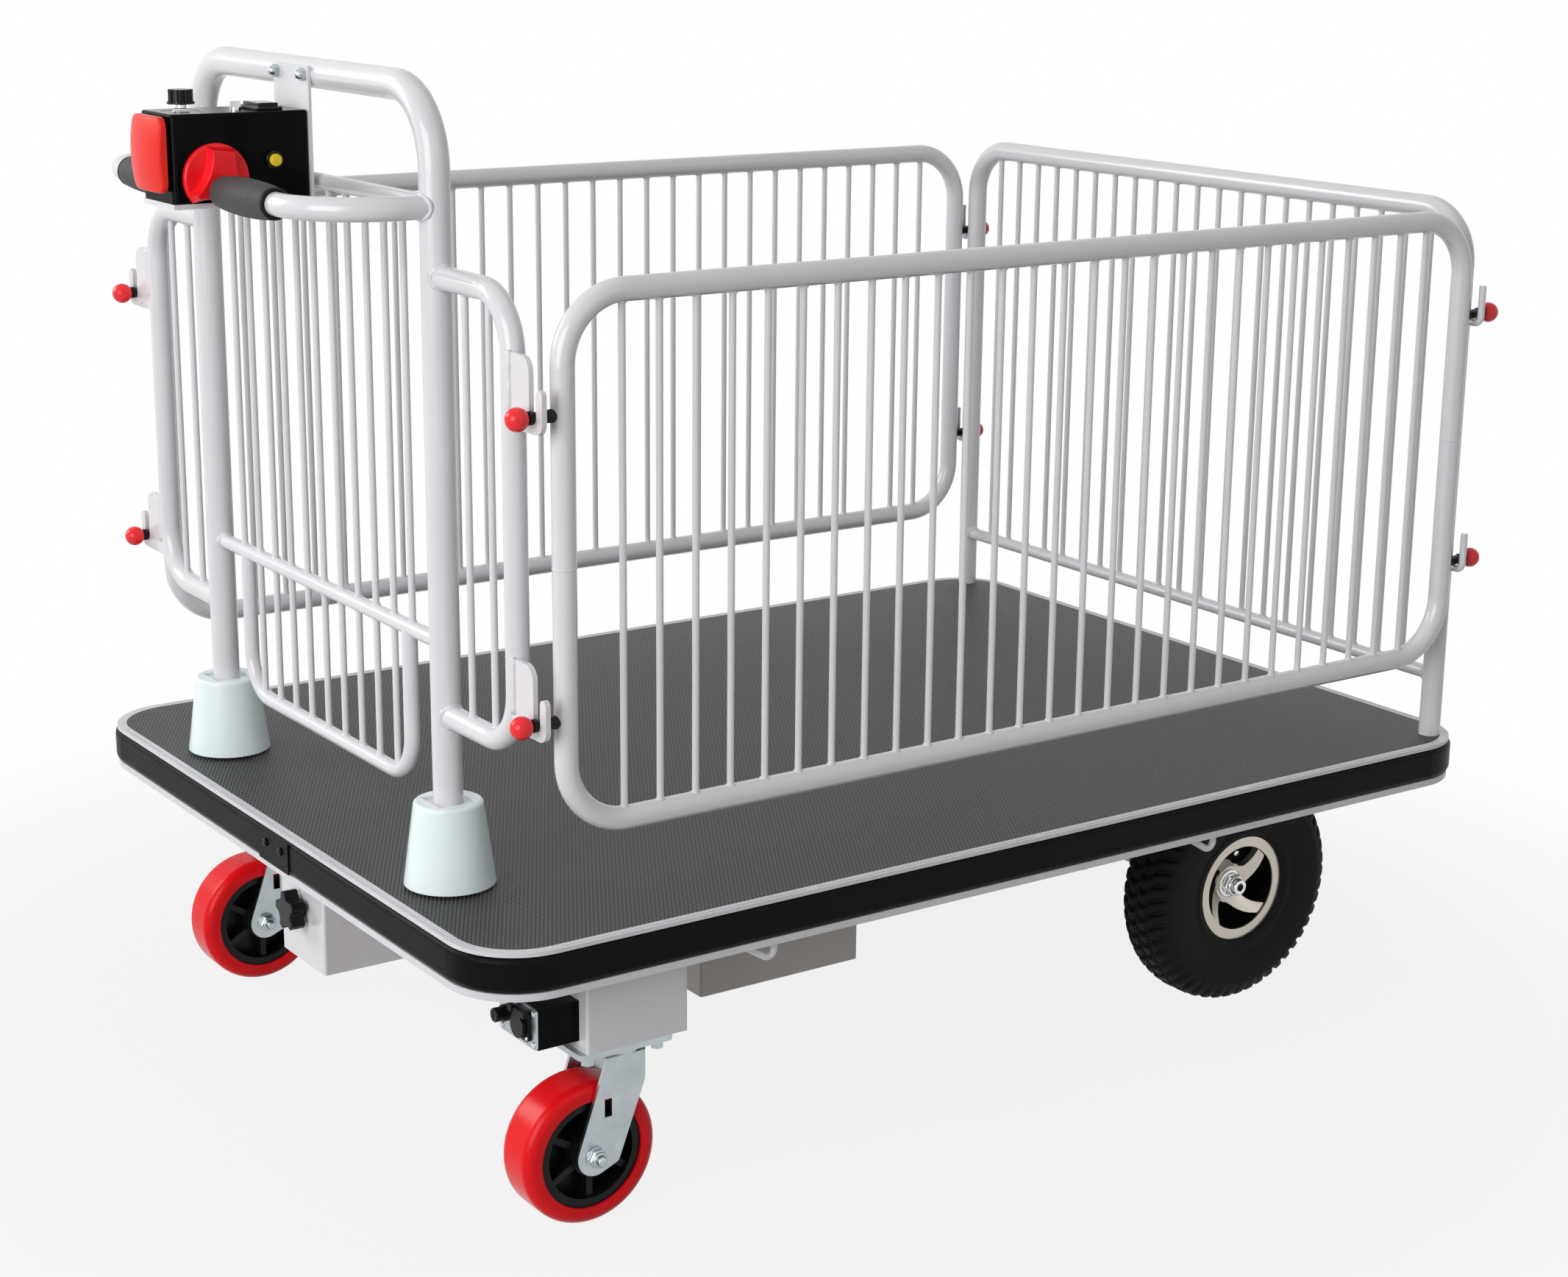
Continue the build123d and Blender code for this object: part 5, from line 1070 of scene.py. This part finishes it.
def scale_tree():
    """Sets ticks at even steps of a turn, a radius away from the middle, and a fine ring outside them."""
    inputs = {"Ticks": "Int", "Radius": "Float", "Line": "Float", "Finish": "Material"}
    tree, source, sink, identifiers = node_tree("knob_scale", inputs)
    spots = add(tree, "GeometryNodePoints", {"Count": source.outputs["Ticks"]})
    index = add(tree, "GeometryNodeInputIndex").outputs[0]
    angle = maths(tree, "MULTIPLY_ADD", index, math.radians(SCALE_STEP), math.radians(SCALE_FIRST))
    turn = add(tree, "ShaderNodeCombineXYZ", {"Z": angle})
    tick = add(tree, "GeometryNodeMeshCube", {"Size": mm(*TICK_SIZE)})
    out = add(tree, "ShaderNodeCombineXYZ", {"X": source.outputs["Radius"]})
    placed = add(tree, "GeometryNodeTransform", {"Geometry": tick.outputs[0], "Translation": out.outputs[0]})
    ticks = copies(tree, spots.outputs[0], placed.outputs[0], turn.outputs[0])
    sweep = SCALE_STEP * (SCALE_TICKS - 1) + 2 * SCALE_PAST
    bend = {
        "Resolution": 60,
        "Radius": maths(tree, "ADD", source.outputs["Radius"], SCALE_RING_OUT / 1000),
        "Start Angle": math.radians(SCALE_FIRST - SCALE_PAST),
        "Sweep Angle": math.radians(sweep),
    }
    arc = add(tree, "GeometryNodeCurveArc", bend)
    line = {"Resolution": 6, "Radius": source.outputs["Line"]}
    thread = add(tree, "GeometryNodeCurvePrimitiveCircle", line)
    ring = add(
        tree, "GeometryNodeCurveToMesh",
        {"Curve": arc.outputs[0], "Profile Curve": thread.outputs[0], "Fill Caps": True},
    )
    both = add(tree, "GeometryNodeJoinGeometry")
    tree.links.new(ticks, both.inputs[0])
    tree.links.new(ring.outputs[0], both.inputs[0])
    dress(tree, sink, realized(tree, both.outputs[0]), source.outputs["Finish"])
    return tree, identifiers


def knob_scale():
    """Printed scale on the lid round the top knob."""
    tree, identifiers = scale_tree()
    values = {
        "Ticks": SCALE_TICKS,
        "Radius": SCALE_RADIUS / 1000,
        "Line": SCALE_LINE / 1000,
        "Finish": FINISHES["mark"],
    }
    mesh = grown(mesh_of("scale", [(0, 0, 0)]), tree, identifiers, values)
    mesh.transform(Matrix.Translation(mm(KNOB_X, KNOB_Y, BOX_TOP + 0.1)))
    piece("knob_scale", tidied(mesh, False), "mark", "chassis", "gauge_plastic")


# Stage, in metres

WHITE = (1, 1, 1, 1)
SURROUND_LIGHT = 0.3
FLOOR_HALF = 30.0
FLOOR_WHITE = 0.86          # share of white in the floor under the trolley
FADE_FROM = 0.8
FADE_TO = 1.6


def soft_box(name, place, aim, size, watts):
    """Square lamp at a place, facing a point."""
    lamp = bpy.data.lights.new(name, "AREA")
    lamp.shape = "SQUARE"
    lamp.size = size
    lamp.energy = watts
    obj = bpy.data.objects.new(name, lamp)
    obj.location = place
    obj.rotation_euler = (Vector(aim) - Vector(place)).to_track_quat("-Z", "Y").to_euler()
    bpy.context.collection.objects.link(obj)


def seen_white(tree):
    """1 where the surround is looked at straight, in a reflection or through glass, otherwise 0."""
    path = add(tree, "ShaderNodeLightPath").outputs
    looked = maths(tree, "ADD", path["Is Camera Ray"], path["Is Glossy Ray"])
    return maths(tree, "ADD", looked, path["Is Transmission Ray"], use_clamp=True)


def surround():
    """Dim grey light all round, seen as white."""
    world = bpy.data.worlds.new("surround")
    bpy.context.scene.world = world
    world.use_nodes = True
    tree = world.node_tree
    tree.nodes.clear()
    light = add(tree, "ShaderNodeBackground", {"Color": WHITE, "Strength": SURROUND_LIGHT})
    white = add(tree, "ShaderNodeBackground", {"Color": WHITE, "Strength": 1.0})
    mix = add(tree, "ShaderNodeMixShader", {0: seen_white(tree), 1: light.outputs[0], 2: white.outputs[0]})
    add(tree, "ShaderNodeOutputWorld", {"Surface": mix.outputs[0]})


def floor():
    """Wide pale floor that fades to white round the trolley and keeps its shadow."""
    half = FLOOR_HALF
    corners = [(-half, -half, 0), (half, -half, 0), (half, half, 0), (-half, half, 0)]
    mesh = mesh_of("floor", corners, [(0, 1, 2, 3)])
    material = bpy.data.materials.new("studio_floor_paint")
    material.use_nodes = True
    tree = material.node_tree
    tree.nodes.clear()
    paint = add(tree, "ShaderNodeBsdfDiffuse", {"Color": linear("#A6A6A6")})
    white = add(tree, "ShaderNodeEmission", {"Color": WHITE, "Strength": 1.0})
    place = add(tree, "ShaderNodeTexCoord").outputs["Object"]
    away = add(tree, "ShaderNodeVectorMath", {0: place}, operation="LENGTH").outputs["Value"]
    reach = {"Value": away, 1: FADE_FROM, 2: FADE_TO, 3: FLOOR_WHITE, 4: 1.0}
    fade = add(tree, "ShaderNodeMapRange", reach, interpolation_type="SMOOTHSTEP")
    share = maths(tree, "MULTIPLY", seen_white(tree), fade.outputs["Result"])
    mix = add(tree, "ShaderNodeMixShader", {0: share, 1: paint.outputs[0], 2: white.outputs[0]})
    add(tree, "ShaderNodeOutputMaterial", {"Surface": mix.outputs[0]})
    mesh.materials.append(material)
    obj = bpy.data.objects.new("floor", mesh)
    bpy.context.collection.objects.link(obj)


def camera():
    """Camera at the photograph's place, angle and focal length."""
    yaw, pitch, roll = CAMERA_YAW, CAMERA_PITCH, CAMERA_ROLL
    ahead = Vector((math.sin(yaw) * math.cos(pitch), math.cos(yaw) * math.cos(pitch), -math.sin(pitch)))
    level = Vector((math.cos(yaw), -math.sin(yaw), 0))
    plumb = ahead.cross(level)
    right = math.cos(roll) * level + math.sin(roll) * plumb
    down = math.cos(roll) * plumb - math.sin(roll) * level
    data = bpy.data.cameras.new("photo_camera")
    data.sensor_fit = "HORIZONTAL"
    data.sensor_width = 36.0
    data.lens = FOCAL_PIXELS / IMAGE_WIDE * data.sensor_width
    data.clip_end = 200.0
    obj = bpy.data.objects.new("photo_camera", data)
    turn = Matrix((right, -down, -ahead)).transposed().to_4x4()
    obj.matrix_world = Matrix.Translation(CAMERA_PLACE) @ turn
    bpy.context.collection.objects.link(obj)
    bpy.context.scene.camera = obj


drive_tyres()
tyre_valves()
wheel_shafts()
caster_axles()
welds()
tube_joints()
screws()
grip_rims_and_end_shade()
horn_collar()
knob_bush()
gauge()
knob_scale()

surround()
floor()
soft_box("key_from_the_front_end", (-4.2, -1.8, 1.9), (0, 0, 0.5), 3.0, 120)
soft_box("fill_from_the_far_front", (-3.0, 3.2, 2.5), (-0.4, 0, 0.4), 2.0, 74)
soft_box("top", (0.3, -0.2, 4.8), (0, 0, 0.5), 3.0, 12)
soft_box("near_side", (0.5, -5.0, 2.8), (0, 0, 0.6), 2.0, 8)
camera()
bpy.context.scene.view_settings.view_transform = "Standard"
